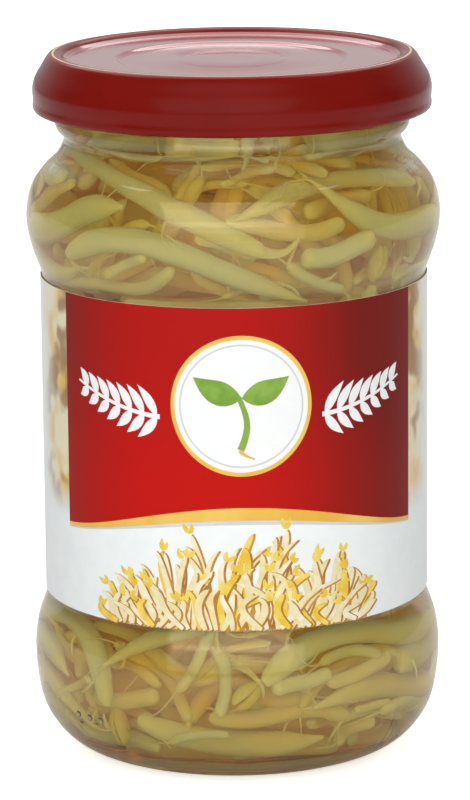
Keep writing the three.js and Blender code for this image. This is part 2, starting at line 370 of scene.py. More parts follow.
class Nodes:
    """A material's node tree, with short ways to add to it."""

    def __init__(self, name: str) -> None:
        """Starts a new material with an empty tree."""
        self.material = bpy.data.materials.new(name)
        self.material.use_nodes = True
        self.tree = self.material.node_tree
        self.tree.nodes.clear()
        self.out = self.tree.nodes.new("ShaderNodeOutputMaterial")

    def add(self, kind: str, **settings: object) -> bpy.types.Node:
        """Adds a node and sets it.

        Args:
            kind: The node's type, without its ShaderNode prefix.
            settings: Properties, and inputs by name with underscores for spaces. A socket is linked.

        Returns:
            The node.
        """
        node = self.tree.nodes.new("ShaderNode" + kind)
        for name, value in settings.items():
            if hasattr(node, name):
                setattr(node, name, value)
            else:
                self.put(node.inputs[name.replace("_", " ")], value)
        return node

    def put(self, socket: bpy.types.NodeSocket, value: object) -> None:
        """Sets a socket, or links another socket to it."""
        if isinstance(value, bpy.types.NodeSocket):
            self.tree.links.new(value, socket)
        elif isinstance(value, tuple) and len(value) == 3 and socket.type == "RGBA":
            socket.default_value = (*value, 1.0)
        else:
            socket.default_value = value

    def math(self, operation: str, *values: object) -> bpy.types.NodeSocket:
        """Adds one sum of one to three values.

        Args:
            operation: The kind of sum.
            values: Numbers or sockets.

        Returns:
            The socket of the result.
        """
        node = self.tree.nodes.new("ShaderNodeMath")
        node.operation = operation
        for socket, value in zip(node.inputs, values):
            self.put(socket, value)
        return node.outputs[0]

    def mix(self, share: object, first: object, second: object) -> bpy.types.NodeSocket:
        """Adds a mix of two colours.

        Args:
            share: The share, a number or a socket.
            first: The colour at 0.
            second: The colour at 1.

        Returns:
            The socket of the colour.
        """
        node = self.tree.nodes.new("ShaderNodeMix")
        node.data_type = "RGBA"
        self.put(node.inputs["Factor"], share)
        colours = [socket for socket in node.inputs if socket.type == "RGBA"]
        self.put(colours[0], first)
        self.put(colours[1], second)
        return next(socket for socket in node.outputs if socket.type == "RGBA")

    def ramp(self, value: object, low: float, high: float) -> bpy.types.NodeSocket:
        """Stretches a value smoothly between two limits.

        Args:
            value: The socket of the value.
            low: What becomes 0.
            high: What becomes 1.

        Returns:
            The socket of the stretched value.
        """
        node = self.add("MapRange", interpolation_type="SMOOTHSTEP", Value=value)
        node.inputs["From Min"].default_value = low
        node.inputs["From Max"].default_value = high
        return node.outputs["Result"]

    def places(self) -> bpy.types.NodeSocket:
        """Object coordinates, in metres."""
        return self.tree.nodes.new("ShaderNodeTexCoord").outputs["Object"]

    def noise(self, scale: float, detail: float = 3, where: object = None) -> bpy.types.NodeSocket:
        """Cloudy noise from 0 to 1, with a scale per metre."""
        node = self.add("TexNoise", Scale=scale, Detail=detail, Vector=where or self.places())
        return node.outputs[0]

    def bump(self, height: object, distance: float, strength: float = 1.0) -> bpy.types.NodeSocket:
        """A bumped normal from a height, with the depth that a height of 1 stands for."""
        node = self.add("Bump", Strength=strength, Distance=distance, Height=height)
        return node.outputs["Normal"]

    def attribute(self, name: str) -> bpy.types.NodeSocket:
        """A number written at the corners of the piece."""
        return self.add("Attribute", attribute_name=name).outputs["Fac"]

    def angle(self) -> bpy.types.NodeSocket:
        """The angle round the jar in radians, 0 at the front and growing to the right."""
        split = self.add("SeparateXYZ", Vector=self.places())
        return self.math("ARCTAN2", split.outputs["X"], self.math("MULTIPLY", split.outputs["Y"], -1.0))

    def finish(self, surface: bpy.types.NodeSocket, volume: object = None) -> bpy.types.Material:
        """Links the surface and what fills it.

        Args:
            surface: The surface's socket.
            volume: The volume's socket, if there is one.

        Returns:
            The material.
        """
        self.tree.links.new(surface, self.out.inputs["Surface"])
        if volume is not None:
            self.tree.links.new(volume, self.out.inputs["Volume"])
        return self.material

    def lit_through(self, clear: bpy.types.NodeSocket, tint: Colour) -> bpy.types.NodeSocket:
        """Lets lamps light what is behind a clear shader.

        Args:
            clear: The clear shader's socket.
            tint: The colour that its shadow keeps.

        Returns:
            The socket of the mixed shader.
        """
        path = self.tree.nodes.new("ShaderNodeLightPath")
        open_way = self.add("BsdfTransparent", Color=tint)
        mixed = self.tree.nodes.new("ShaderNodeMixShader")
        self.tree.links.new(path.outputs["Is Shadow Ray"], mixed.inputs[0])
        self.tree.links.new(clear, mixed.inputs[1])
        self.tree.links.new(open_way.outputs[0], mixed.inputs[2])
        return mixed.outputs[0]


# Finishes


@dataclass(frozen=True)
class GlassFinish:
    """Clear container glass with a green cast, faint waves and a mould seam."""

    colour: Colour = (0.94, 0.985, 0.945)
    shadow: Colour = (0.93, 0.95, 0.92)
    bend: float = 1.5
    wave: float = 0.3 * MM
    seam_angle: float = math.radians(53)
    seam_width: float = 0.011
    seam_height: float = 0.04 * MM

    def material(self) -> bpy.types.Material:
        """The glass material."""
        nodes = Nodes("clear_glass")
        waves = nodes.bump(nodes.noise(45, 2), self.wave)
        turn = nodes.angle()
        away = nodes.math("PINGPONG", nodes.math("SUBTRACT", turn, self.seam_angle), math.pi / 2)
        seam = nodes.math("SUBTRACT", 1.0, nodes.ramp(away, 0.0, self.seam_width))
        raised = nodes.add("Bump", Strength=1.0, Distance=self.seam_height, Height=seam, Normal=waves)
        shader = nodes.add(
            "BsdfPrincipled",
            Base_Color=self.colour,
            Roughness=0.0,
            IOR=self.bend,
            Specular_IOR_Level=0.07,
            Transmission_Weight=1.0,
            Normal=raised.outputs["Normal"],
        )
        return nodes.finish(nodes.lit_through(shader.outputs[0], self.shadow))


@dataclass(frozen=True)
class BrineFinish:
    """Slightly cloudy liquid that turns amber with depth."""

    colour: Colour = (0.88, 0.64, 0.19)
    shadow: Colour = (0.98, 0.95, 0.84)
    bend: float = 1.34
    clear: float = 0.95
    deep: Colour = (0.97, 0.72, 0.04)
    density: float = 78.0

    def material(self) -> bpy.types.Material:
        """The brine material."""
        nodes = Nodes("brine")
        shader = nodes.add(
            "BsdfPrincipled",
            Base_Color=self.colour,
            Roughness=0.0,
            IOR=self.bend,
            Specular_IOR_Level=0.06,
            Transmission_Weight=self.clear,
        )
        depth = nodes.add("VolumeAbsorption", Color=self.deep, Density=self.density)
        return nodes.finish(nodes.lit_through(shader.outputs[0], self.shadow), depth.outputs[0])


@dataclass(frozen=True)
class FleshFinish:
    """Pale wet sprout flesh, browner at the root and yellower at the neck, with painted shade on deep sprouts
    and a faint painted glow.
    """

    pale: Colour = (0.52, 0.59, 0.585)
    dull: Colour = (0.68, 0.55, 0.25)
    root: Colour = (0.58, 0.56, 0.38)
    neck: Colour = (0.58, 0.6, 0.42)
    # Painted light: the flesh glows faintly in its own colour, standing in for light scattered inside the
    # sprouts.
    glow: float = 0.11

    def material(self) -> bpy.types.Material:
        """The sprout flesh, from the marks 'along' and 'tone' on the piece, where 'tone' also holds painted
        shade for sprouts that lie deep.
        """
        nodes = Nodes("sprout_flesh")
        along = nodes.attribute("along")
        # Painted shade: 'tone' is lower on sprouts that lie deeper from the glass, which turns them duller and
        # more amber.
        tone = nodes.attribute("tone")
        cloud = nodes.noise(230, 4)
        share = nodes.math("ADD", nodes.math("MULTIPLY", tone, 0.65), nodes.math("MULTIPLY", cloud, 0.5))
        body = nodes.mix(nodes.ramp(share, 0.2, 0.95), self.dull, self.pale)
        rooted = nodes.mix(nodes.math("SUBTRACT", 1.0, nodes.ramp(along, 0.02, 0.3)), body, self.root)
        necked = nodes.mix(nodes.ramp(along, 0.8, 1.0), rooted, self.neck)
        flecks = nodes.ramp(nodes.noise(900, 2), 0.66, 0.8)
        spotted = nodes.mix(nodes.math("MULTIPLY", flecks, 0.3), necked, self.root)
        streaks = nodes.noise(700, 3)
        shader = nodes.add(
            "BsdfPrincipled",
            Base_Color=spotted,
            Roughness=0.38,
            Subsurface_Weight=0.75,
            Subsurface_Scale=3.0 * MM,
            Subsurface_Radius=(1.0, 0.9, 0.6),
            Specular_IOR_Level=0.25,
            # Painted light: a faint glow in the flesh's own colour.
            Emission_Color=spotted,
            Emission_Strength=self.glow,
            Normal=nodes.bump(streaks, 0.12 * MM, 0.6),
        )
        return nodes.finish(shader.outputs[0])


@dataclass(frozen=True)
class SeedLeafFinish:
    """Yellow seed leaves with a greener base and small brown marks."""

    yellow: Colour = (0.66, 0.6, 0.1)
    pale: Colour = (0.66, 0.63, 0.28)
    mark: Colour = (0.3, 0.16, 0.03)

    def material(self) -> bpy.types.Material:
        """The seed leaf material."""
        nodes = Nodes("seed_leaf")
        body = nodes.mix(nodes.ramp(nodes.noise(420, 3), 0.3, 0.7), self.pale, self.yellow)
        spots = nodes.math("MULTIPLY", nodes.ramp(nodes.noise(1100, 3), 0.62, 0.74), 0.6)
        shader = nodes.add(
            "BsdfPrincipled",
            Base_Color=nodes.mix(spots, body, self.mark),
            Roughness=0.42,
            Subsurface_Weight=0.2,
            Subsurface_Scale=1.0 * MM,
            Normal=nodes.bump(nodes.noise(800, 3), 0.15 * MM, 0.6),
        )
        return nodes.finish(shader.outputs[0])


@dataclass(frozen=True)
class LacquerFinish:
    """Baked lacquer on pressed steel, with a faint orange peel and uneven gloss."""

    name: str = "lid_lacquer"
    colour: Colour = (0.2, 0.008, 0.005)
    deep: Colour = (0.13, 0.004, 0.002)
    roughness: float = 0.16
    specular: float = 0.16
    coat: float = 0.0

    def material(self) -> bpy.types.Material:
        """The lacquer material."""
        nodes = Nodes(self.name)
        cloud = nodes.noise(60, 3)
        peel = nodes.noise(1500, 2)
        uneven = nodes.math("ADD", self.roughness, nodes.math("MULTIPLY", nodes.noise(300, 4), 0.08))
        shader = nodes.add(
            "BsdfPrincipled",
            Base_Color=nodes.mix(cloud, self.deep, self.colour),
            Roughness=uneven,
            Specular_IOR_Level=self.specular,
            Coat_Weight=self.coat,
            Coat_Roughness=0.1,
            Normal=nodes.bump(peel, 0.012 * MM),
        )
        return nodes.finish(shader.outputs[0])


@dataclass(frozen=True)
class CompoundFinish:
    """Soft cream sealing compound."""

    colour: Colour = (0.74, 0.69, 0.56)

    def material(self) -> bpy.types.Material:
        """The compound material."""
        nodes = Nodes("sealing_compound")
        shader = nodes.add(
            "BsdfPrincipled",
            Base_Color=nodes.mix(nodes.noise(250, 3), self.colour, (0.66, 0.6, 0.46)),
            Roughness=0.55,
            Normal=nodes.bump(nodes.noise(900, 2), 0.05 * MM),
        )
        return nodes.finish(shader.outputs[0])


@dataclass(frozen=True)
class PaperFinish:
    """Glossy coated paper, or one ink on it, with a slight drift of tone."""

    name: str
    colour: Colour
    drift: Colour
    roughness: float = 0.3
    grain: float = 260.0

    def material(self) -> bpy.types.Material:
        """The paper or ink material."""
        nodes = Nodes(self.name)
        fibre = nodes.noise(2600, 2)
        shader = nodes.add(
            "BsdfPrincipled",
            Base_Color=nodes.mix(nodes.ramp(nodes.noise(self.grain, 3), 0.3, 0.7), self.colour, self.drift),
            Roughness=self.roughness,
            Specular_IOR_Level=0.12,
            Normal=nodes.bump(fibre, 0.006 * MM),
        )
        return nodes.finish(shader.outputs[0])


@dataclass(frozen=True)
class RedInkWithPaintedShade:
    """Red ink, brightest low in the middle of the panel; darker towards its sides as painted shade, and darker
    towards its top as print.
    """

    bright: Colour = (0.48, 0.008, 0.006)
    dark: Colour = (0.17, 0.012, 0.009)
    low: float = 50 * MM
    high: float = 80 * MM

    def material(self) -> bpy.types.Material:
        """The red ink material, with painted shade towards the panel's sides."""
        nodes = Nodes("red_ink_with_painted_shade")
        # Painted shade: the red darkens away from just left of the front, as the panel turns away from the
        # light.
        side = nodes.math("ABSOLUTE", nodes.math("SUBTRACT", nodes.angle(), -0.22))
        split = nodes.add("SeparateXYZ", Vector=nodes.places())
        away = nodes.math(
            "ADD",
            nodes.math("MULTIPLY", nodes.ramp(side, 0.2, 1.2), 0.9),
            nodes.math("MULTIPLY", nodes.ramp(split.outputs["Z"], self.low, self.high), 0.3),
        )
        shader = nodes.add(
            "BsdfPrincipled",
            Base_Color=nodes.mix(nodes.math("MINIMUM", away, 1.0), self.bright, self.dark),
            Roughness=0.28,
            Specular_IOR_Level=0.06,
            Normal=nodes.bump(nodes.noise(2600, 2), 0.006 * MM),
        )
        return nodes.finish(shader.outputs[0])


@dataclass(frozen=True)
class BlotchedInk:
    """The soft cream, yellow and brown cloud printed beside the red panel."""

    cream: Colour = (0.72, 0.66, 0.45)
    yellow: Colour = (0.66, 0.42, 0.1)
    brown: Colour = (0.27, 0.13, 0.035)
    paper: Colour = (0.76, 0.79, 0.78)
    fade_low: float = 44 * MM
    fade_high: float = 52 * MM

    def material(self) -> bpy.types.Material:
        """The blotched ink material."""
        nodes = Nodes("blotched_ink")
        warm = nodes.mix(nodes.ramp(nodes.noise(110, 2), 0.42, 0.62), self.cream, self.yellow)
        dark = nodes.math("MULTIPLY", nodes.ramp(nodes.noise(120, 2), 0.5, 0.62), 0.85)
        cloud = nodes.mix(dark, warm, self.brown)
        split = nodes.add("SeparateXYZ", Vector=nodes.places())
        height = nodes.ramp(split.outputs["Z"], self.fade_low, self.fade_high)
        side = nodes.math("ABSOLUTE", nodes.angle())
        near = nodes.math("SUBTRACT", 1.0, nodes.ramp(side, 1.12, 1.4))
        shader = nodes.add(
            "BsdfPrincipled",
            Base_Color=nodes.mix(nodes.math("MULTIPLY", height, near), self.paper, cloud),
            Roughness=0.3,
            Specular_IOR_Level=0.2,
        )
        return nodes.finish(shader.outputs[0])


# Glass jar and brine


@dataclass
class GlassJar:
    """The jar: pushed-up floor, rolls, label panel, neck, transfer bead, finish and thread ridges."""

    base_ring: float = 26
    floor_top: float = 3.4
    wall: float = 2.3
    panel_radius: float = 33.8
    panel_low: float = 27.6
    panel_high: float = 85.5
    roll_radius: float = 36.1
    shoulder_radius: float = 36.3
    neck_radius: float = 29.6
    finish_radius: float = 30.1
    bore_radius: float = 27.3
    rim_top: float = 121.5
    flats: int = 36
    steps: int = 168
    starts: int = 4
    thread_reach: float = 1.4
    thread_height: float = 1.7
    thread_low: float = 115.5
    thread_climb: float = 1.94
    thread_span: Pair = (-6, 54)
    dot_angles: tuple[float, ...] = (-52.0, -47.0, -42.5)
    dot_height: float = 10.2
    dot_reach: float = 35.15
    dot_size: float = 0.65

    def outer_roll(self, steps: int) -> np.ndarray:
        """The heel and lower roll, from the base ring up to the panel."""
        return rounded(
            [
                (self.base_ring, 0),
                (29.8, 1.4),
                (33.1, 4.6),
                (35.2, 9),
                (self.roll_radius, 16.5),
                (35.6, 22),
                (34.3, 26),
                (self.panel_radius, self.panel_low),
            ],
            steps,
        )

    def outer_shoulder(self, steps: int) -> np.ndarray:
        """The upper roll and shoulder, from the panel up to the neck."""
        return rounded(
            [
                (self.panel_radius, self.panel_high),
                (35.5, 90.2),
                (self.shoulder_radius, 95.3),
                (35.4, 100.2),
                (33.2, 103.5),
                (30.8, 105.9),
                (self.neck_radius, 108.2),
            ],
            steps,
        )

    def inner_wall(self, shoulder_steps: int, roll_steps: int) -> list[Pair]:
        """The inside from the bore down to the middle of the floor."""
        shoulder = rounded(
            [
                (self.bore_radius, 108.6),
                (29.4, 105),
                (32.6, 101),
                (self.shoulder_radius - self.wall - 0.2, 95.3),
                (33.1, 90.2),
                (self.panel_radius - self.wall, self.panel_high),
            ],
            shoulder_steps,
        )
        roll = rounded(
            [
                (self.panel_radius - self.wall, self.panel_low),
                (33.1, 22.2),
                (self.roll_radius - self.wall - 0.1, 16.5),
                (33.0, 10.2),
                (29.8, 5.5),
                (24.5, self.floor_top),
            ],
            roll_steps,
        )
        rows = [(self.bore_radius, self.rim_top - 1.6), *map(tuple, shoulder), *map(tuple, roll)]
        return [*rows, (0.0, self.floor_top - 0.3)]

    def outline(self) -> list[Pair]:
        """The whole outline, up the outside and down the inside."""
        base = rounded([(0, 1.4), (12, 1.3), (20, 1.0), (23, 0.5), (24.3, 0.06)], 14)
        bead = rounded(
            [
                (self.neck_radius, 108.2),
                (29.6, 109.4),
                (30.5, 110.2),
                (31.0, 111.4),
                (30.7, 112.5),
                (30.1, 113),
            ],
            18,
        )
        rim = rounded(
            [
                (self.finish_radius, self.rim_top - 1.6),
                (29.7, self.rim_top - 0.5),
                (28.8, self.rim_top),
                (27.8, self.rim_top - 0.4),
                (self.bore_radius, self.rim_top - 1.6),
            ],
            16,
        )
        rows = [*base, (24.8, 0), *self.outer_roll(44), *self.outer_shoulder(44)[:-1], *bead, *rim]
        return [*map(tuple, rows), *self.inner_wall(36, 36)[1:]]

    def thread_ridge(self, lug_angle: float) -> bpy.types.Object:
        """One thread ridge, swept with the climb of the lid.

        Args:
            lug_angle: Where the lid's lug stands when closed, in radians.

        Returns:
            The ridge.
        """
        steps = 18
        rows = []
        for i in range(steps + 1):
            ahead = math.radians(lerp(*self.thread_span, i / steps))
            taper = smoothstep(i, 0, 2) * smoothstep(steps - i, 0, 3)
            under = self.thread_low + self.thread_climb * ahead
            crest = self.finish_radius - 0.15 + self.thread_reach * taper
            root = self.finish_radius - 0.4
            turn = lug_angle + ahead
            section = [
                (root, -0.1),
                (crest, 0.15),
                (crest + 0.1, 0.45),
                (crest, 0.9),
                (root, self.thread_height),
            ]
            rows.append([polar(r, turn, under + z) for r, z in section])
        return lofted("thread_ridge", rows)

    def mould_dot(self, degrees: float) -> bpy.types.Object:
        """One small raised dot low on the heel.

        Args:
            degrees: Its angle from the front.

        Returns:
            The dot.
        """
        deselect()
        turn = math.radians(degrees)
        reach, size = self.dot_reach * MM, self.dot_size * MM
        spot = (reach * math.sin(turn), -reach * math.cos(turn), self.dot_height * MM)
        bpy.ops.mesh.primitive_uv_sphere_add(segments=20, ring_count=12, radius=size, location=spot)
        dot = bpy.context.object
        bpy.ops.object.transform_apply(location=True)
        return dot

    def build(self) -> bpy.types.Object:
        """Models the jar and dresses it."""
        body = turned("glass_body", self.outline(), self.steps)
        ridges = [self.thread_ridge((k + 0.5) * TURN / self.starts) for k in range(self.starts)]
        dots = [self.mould_dot(a) for a in self.dot_angles]
        jar = joined("glass_jar_clear", [*ridges, *dots, body])
        shade(jar, 50)
        dress(jar, GlassFinish().material())
        return settle(jar, Body.JAR, Slot.GLASS, "glass_jar")


@dataclass
class Brine:
    """The liquid, which wets the glass all over and curves up at the neck."""

    jar: GlassJar
    top: float = 117.5
    wetting: float = 0.05
    steps: int = 128

    def build(self) -> bpy.types.Object:
        """Models the liquid and dresses it."""
        wall = [(r + self.wetting if r else 0.0, z - self.wetting) for r, z in self.jar.inner_wall(30, 30)[1:]]
        edge = self.jar.bore_radius + self.wetting
        surface = [(0.0, self.top), (18.0, self.top), (24.5, self.top + 0.05)]
        surface += [(26.2, self.top + 0.35), (27.0, self.top + 0.9), (edge, self.top + 1.4)]
        liquid = turned("brine_liquid", [*surface, *wall], self.steps)
        shade(liquid, 40)
        dress(liquid, BrineFinish().material())
        return settle(liquid, Body.JAR, Slot.BRINE, "brine")


# Where every sprout lies


@dataclass(frozen=True)
class Band:
    """A zone of the wall and how sprouts lie in it, in millimetres and radians."""

    low: float
    high: float
    tilt: float
    length: Pair
    dip: float
    count: int


@dataclass
class SeedLeafPlace:
    """Where a pair of seed leaves sits, with its own axes."""

    centre: np.ndarray
    along: np.ndarray
    side: np.ndarray
    out: np.ndarray


@dataclass
class Stem:
    """One sprout: a route of places in millimetres, with its half thickness at each."""

    centres: np.ndarray
    halves: np.ndarray
    thick: float
    leaf: SeedLeafPlace | None = None


@dataclass
class SproutPlan:
    """The seeded rule that lays every sprout again from the draw state listed for it, which left it clear of
    those before it.
    """

    jar: GlassJar
    gap: float = 0.35
    rings: int = 9
    floor_stems: int = 4
    head_every: int = 5
    leaf_half: float = 3.2
    leaf_width: float = 2.3
    thick: Pair = (1.8, 2.4)
    least_half: float = 0.6
    sway: float = 0.1
    floor_length: Pair = (36, 44)
    floor_thick: Pair = (1.8, 2.3)
    floor_aside: float = 38
    floor_bow: float = 12
    shortest: float = 0.5
    tries_to_nothing: int = 2400
    bands: tuple[Band, ...] = (
        Band(7, 33, 1, (44, 66), 4, 14),
        Band(27, 90, 1.2, (48, 66), 6, 8),
        Band(83, 115, 1.2, (42, 66), 4, 16),
    )
    draws: tuple[tuple[int, int], ...] = (
        (656658483, 2), (413208712, 35), (473665510, 377), (2002480, 44703), (1457550649, 12),
        (1003965447, 11), (1681996828, 24), (749581756, 0), (1312564459, 30), (247480858, 229),
        (2016336494, 360), (1145931857, 617), (9209569, 809), (725853648, 606), (1015851668, 822),
        (1573077412, 10538), (1523560281, 948), (135118218, 1211), (1238793074, 0), (263413782, 3),
        (1326362628, 2), (474126217, 6), (1716897417, 2), (1009444704, 32), (426049791, 9),
        (178839025, 17), (1401603310, 3), (1080543273, 30), (1858058620, 21), (1095569785, 27),
        (876875704, 42), (1095039148, 52), (611988371, 80), (1685359325, 30), (164694987, 379),
        (262978725, 388), (1578712941, 733), (1101671012, 953), (1341949870, 1141), (1985559031, 1043),
        (2056774995, 2860), (1639800602, 1129),
    )
    draw: SeededDraw = field(init=False)

    def __post_init__(self) -> None:
        """Starts the draw."""
        self.draw = SeededDraw(self.draws[0][0])

    @cached_property
    def wall(self) -> np.ndarray:
        """Close places down the inside of the flat-sided wall."""
        rows = self.jar.inner_wall(5, 6)
        flat = math.cos(math.pi / self.jar.flats)
        made = []
        for i, (r, z) in enumerate(rows):
            r1, z1 = rows[min(i + 1, len(rows) - 1)]
            pieces = max(1, math.ceil(math.hypot(r1 - r, z1 - z)))
            made += [(lerp(r, r1, k / pieces) * flat, lerp(z, z1, k / pieces)) for k in range(pieces)]
        return np.array(made)

    def room(self, height: float, half: float) -> float:
        """Finds the largest radius at which something clears the glass.

        Args:
            height: Its height above the base.
            half: Its half thickness.

        Returns:
            The radius, without limit where no glass is near.
        """
        reach = half + self.gap
        away = np.abs(self.wall[:, 1] - height)
        near = away < reach
        if not near.any():
            return math.inf
        return float((self.wall[near, 0] - np.sqrt(reach * reach - away[near] ** 2)).min())

    @staticmethod
    def girth(along: float) -> float:
        """How thick a sprout is along its length, as a share of its full thickness."""
        return smoothstep(along, -0.09, 0.27) * (1 - 0.4 * smoothstep(along, 0.84, 1.04))

    def wall_try(self, band: Band, shorter: float) -> Stem | None:
        """Makes one try at a sprout on the wall.

        Args:
            band: The zone that it lies in.
            shorter: A share of the usual length.

        Returns:
            The sprout, or None if it leaves its band.
        """
        draw = self.draw
        length = lerp(*band.length, draw()) * shorter
        thick = lerp(*self.thick, draw())
        way = -1 if draw() < 0.5 else 1
        dip = band.dip * draw()
        angle = draw() * TURN
        height = lerp(band.low, band.high, draw())
        heading = (draw() - 0.5) * 2 * band.tilt
        bend = (draw() - 0.5) * self.sway
        wave = (draw() - 0.5) * self.sway
        step = length / (self.rings - 1)
        centres, halves = [], []
        for i in range(self.rings):
            along = i / (self.rings - 1)
            half = max(thick * self.girth(along), self.least_half)
            if not band.low <= height <= band.high:
                return None
            radius = self.room(height, half) - dip * math.sin(math.pi * along) ** 2
            centres.append((radius * math.cos(angle), radius * math.sin(angle), height))
            halves.append(half)
            heading += (bend + wave * math.sin(TURN * along)) * step
            angle += (way * step * math.cos(heading)) / radius
            height += step * math.sin(heading)
        return Stem(np.array(centres), np.array(halves), thick)

    def floor_try(self) -> Stem | None:
        """One try at a sprout lying across the floor."""
        draw = self.draw
        length = lerp(*self.floor_length, draw())
        thick = lerp(*self.floor_thick, draw())
        turn = draw() * TURN
        aside = (draw() - 0.5) * self.floor_aside
        bow = (draw() - 0.5) * self.floor_bow
        centres, halves = [], []
        for i in range(self.rings):
            along = i / (self.rings - 1)
            half = max(thick * self.girth(along), self.least_half)
            x = (along - 0.5) * length
            y = aside + bow * (1 - (2 * along - 1) ** 2)
            place = (
                x * math.cos(turn) - y * math.sin(turn),
                x * math.sin(turn) + y * math.cos(turn),
                self.jar.floor_top + self.gap + half,
            )
            if math.hypot(place[0], place[1]) > self.room(place[2], half + 0.05):
                return None
            centres.append(place)
            halves.append(half)
        return Stem(np.array(centres), np.array(halves), thick)

    def leaf_place(self, stem: Stem) -> SeedLeafPlace:
        """Where the seed leaves sit past the end of a sprout."""
        along = unit(stem.centres[-1] - stem.centres[-2])
        centre = stem.centres[-1] + along * (self.leaf_half + self.gap + 0.1)
        self.keep_in(centre, self.leaf_width + 0.1)
        return self.facing(centre, along)

    def keep_in(self, place: np.ndarray, half: float) -> None:
        """Moves a place towards the axis until something of this half thickness clears the glass there."""
        limit = self.room(place[2], half)
        radius = math.hypot(place[0], place[1])
        if radius > limit:
            place[:2] *= limit / radius

    @staticmethod
    def facing(centre: np.ndarray, along: np.ndarray) -> SeedLeafPlace:
        """A place for seed leaves that point along a stem, with one side to the glass."""
        out = unit(np.array([centre[0], centre[1], 0.0]))
        side = unit(np.cross(along, out))
        return SeedLeafPlace(centre, along, side, np.cross(side, along))

    def balls(self, stem: Stem, share: int = 4) -> tuple[np.ndarray, np.ndarray]:
        """Fills a sprout with balls close together, and its seed leaves with one.

        Args:
            stem: The sprout.
            share: How many balls each stretch of its route has.

        Returns:
            Their centres and half thicknesses.
        """
        known = np.arange(len(stem.centres))
        wanted = np.arange((len(stem.centres) - 1) * share + 1) / share
        centres = np.column_stack([np.interp(wanted, known, stem.centres[:, k]) for k in range(3)])
        halves = np.interp(wanted, known, stem.halves)
        if stem.leaf:
            centres = np.vstack([centres, stem.leaf.centre])
            halves = np.append(halves, self.leaf_half)
        return centres, halves

    def stems(self) -> list[Stem]:
        """Every sprout of the model, in its order, each from the draw that laid it clear of the others."""
        plan: list[Band | None] = [None] * self.floor_stems
        for band in self.bands:
            plan += [band] * band.count
        made = []
        for index, (band, (state, tries)) in enumerate(zip(plan, self.draws)):
            self.draw.state = state
            shorter = max(self.shortest, 1 - tries / self.tries_to_nothing)
            stem = self.wall_try(band, shorter) if band else self.floor_try()
            if stem is None:
                raise ValueError(f"sprout {index + 1} doesn't fit its band")
            if band and index % self.head_every == 0:
                stem.leaf = self.leaf_place(stem)
            made.append(stem)
        return made


class Heap:
    """Every ball placed so far, to test what clears what."""

    def __init__(self) -> None:
        """Starts empty."""
        self.centres = np.zeros((0, 3))
        self.halves = np.zeros(0)

    def clears(self, centres: np.ndarray, halves: np.ndarray, gap: float) -> bool:
        """Tests new balls against every placed one, a few of them first.

        Args:
            centres: The new balls' centres.
            halves: Their half thicknesses.
            gap: The gap, or how far they may press in where it is below 0.

        Returns:
            True if all of them clear.
        """
        for few in (slice(0, None, 6), slice(None)):
            away = self.centres[None, :, :] - centres[few, None, :]
            apart = np.einsum("ijk,ijk->ij", away, away)
            if (apart <= (halves[few, None] + self.halves[None, :] + gap) ** 2).any():
                return False
        return True

    def add(self, centres: np.ndarray, halves: np.ndarray) -> None:
        """Places more balls."""
        self.centres = np.vstack([self.centres, centres])
        self.halves = np.concatenate([self.halves, halves])


# Sprouts as fine pieces


@dataclass(frozen=True)
class Fill:
    """A lot of loose sprouts added among the first ones, in millimetres and radians."""

    name: str
    low: float
    high: float
    count: int
    thick: Pair
    length: Pair
    depth: Pair
    tilt: float
    press: float = 0.6
    curl: float = 0.0
    # The range of paleness; the inner lots and the lot at the neck start lower, as painted shade.
    tones: Pair = (0.5, 1.0)


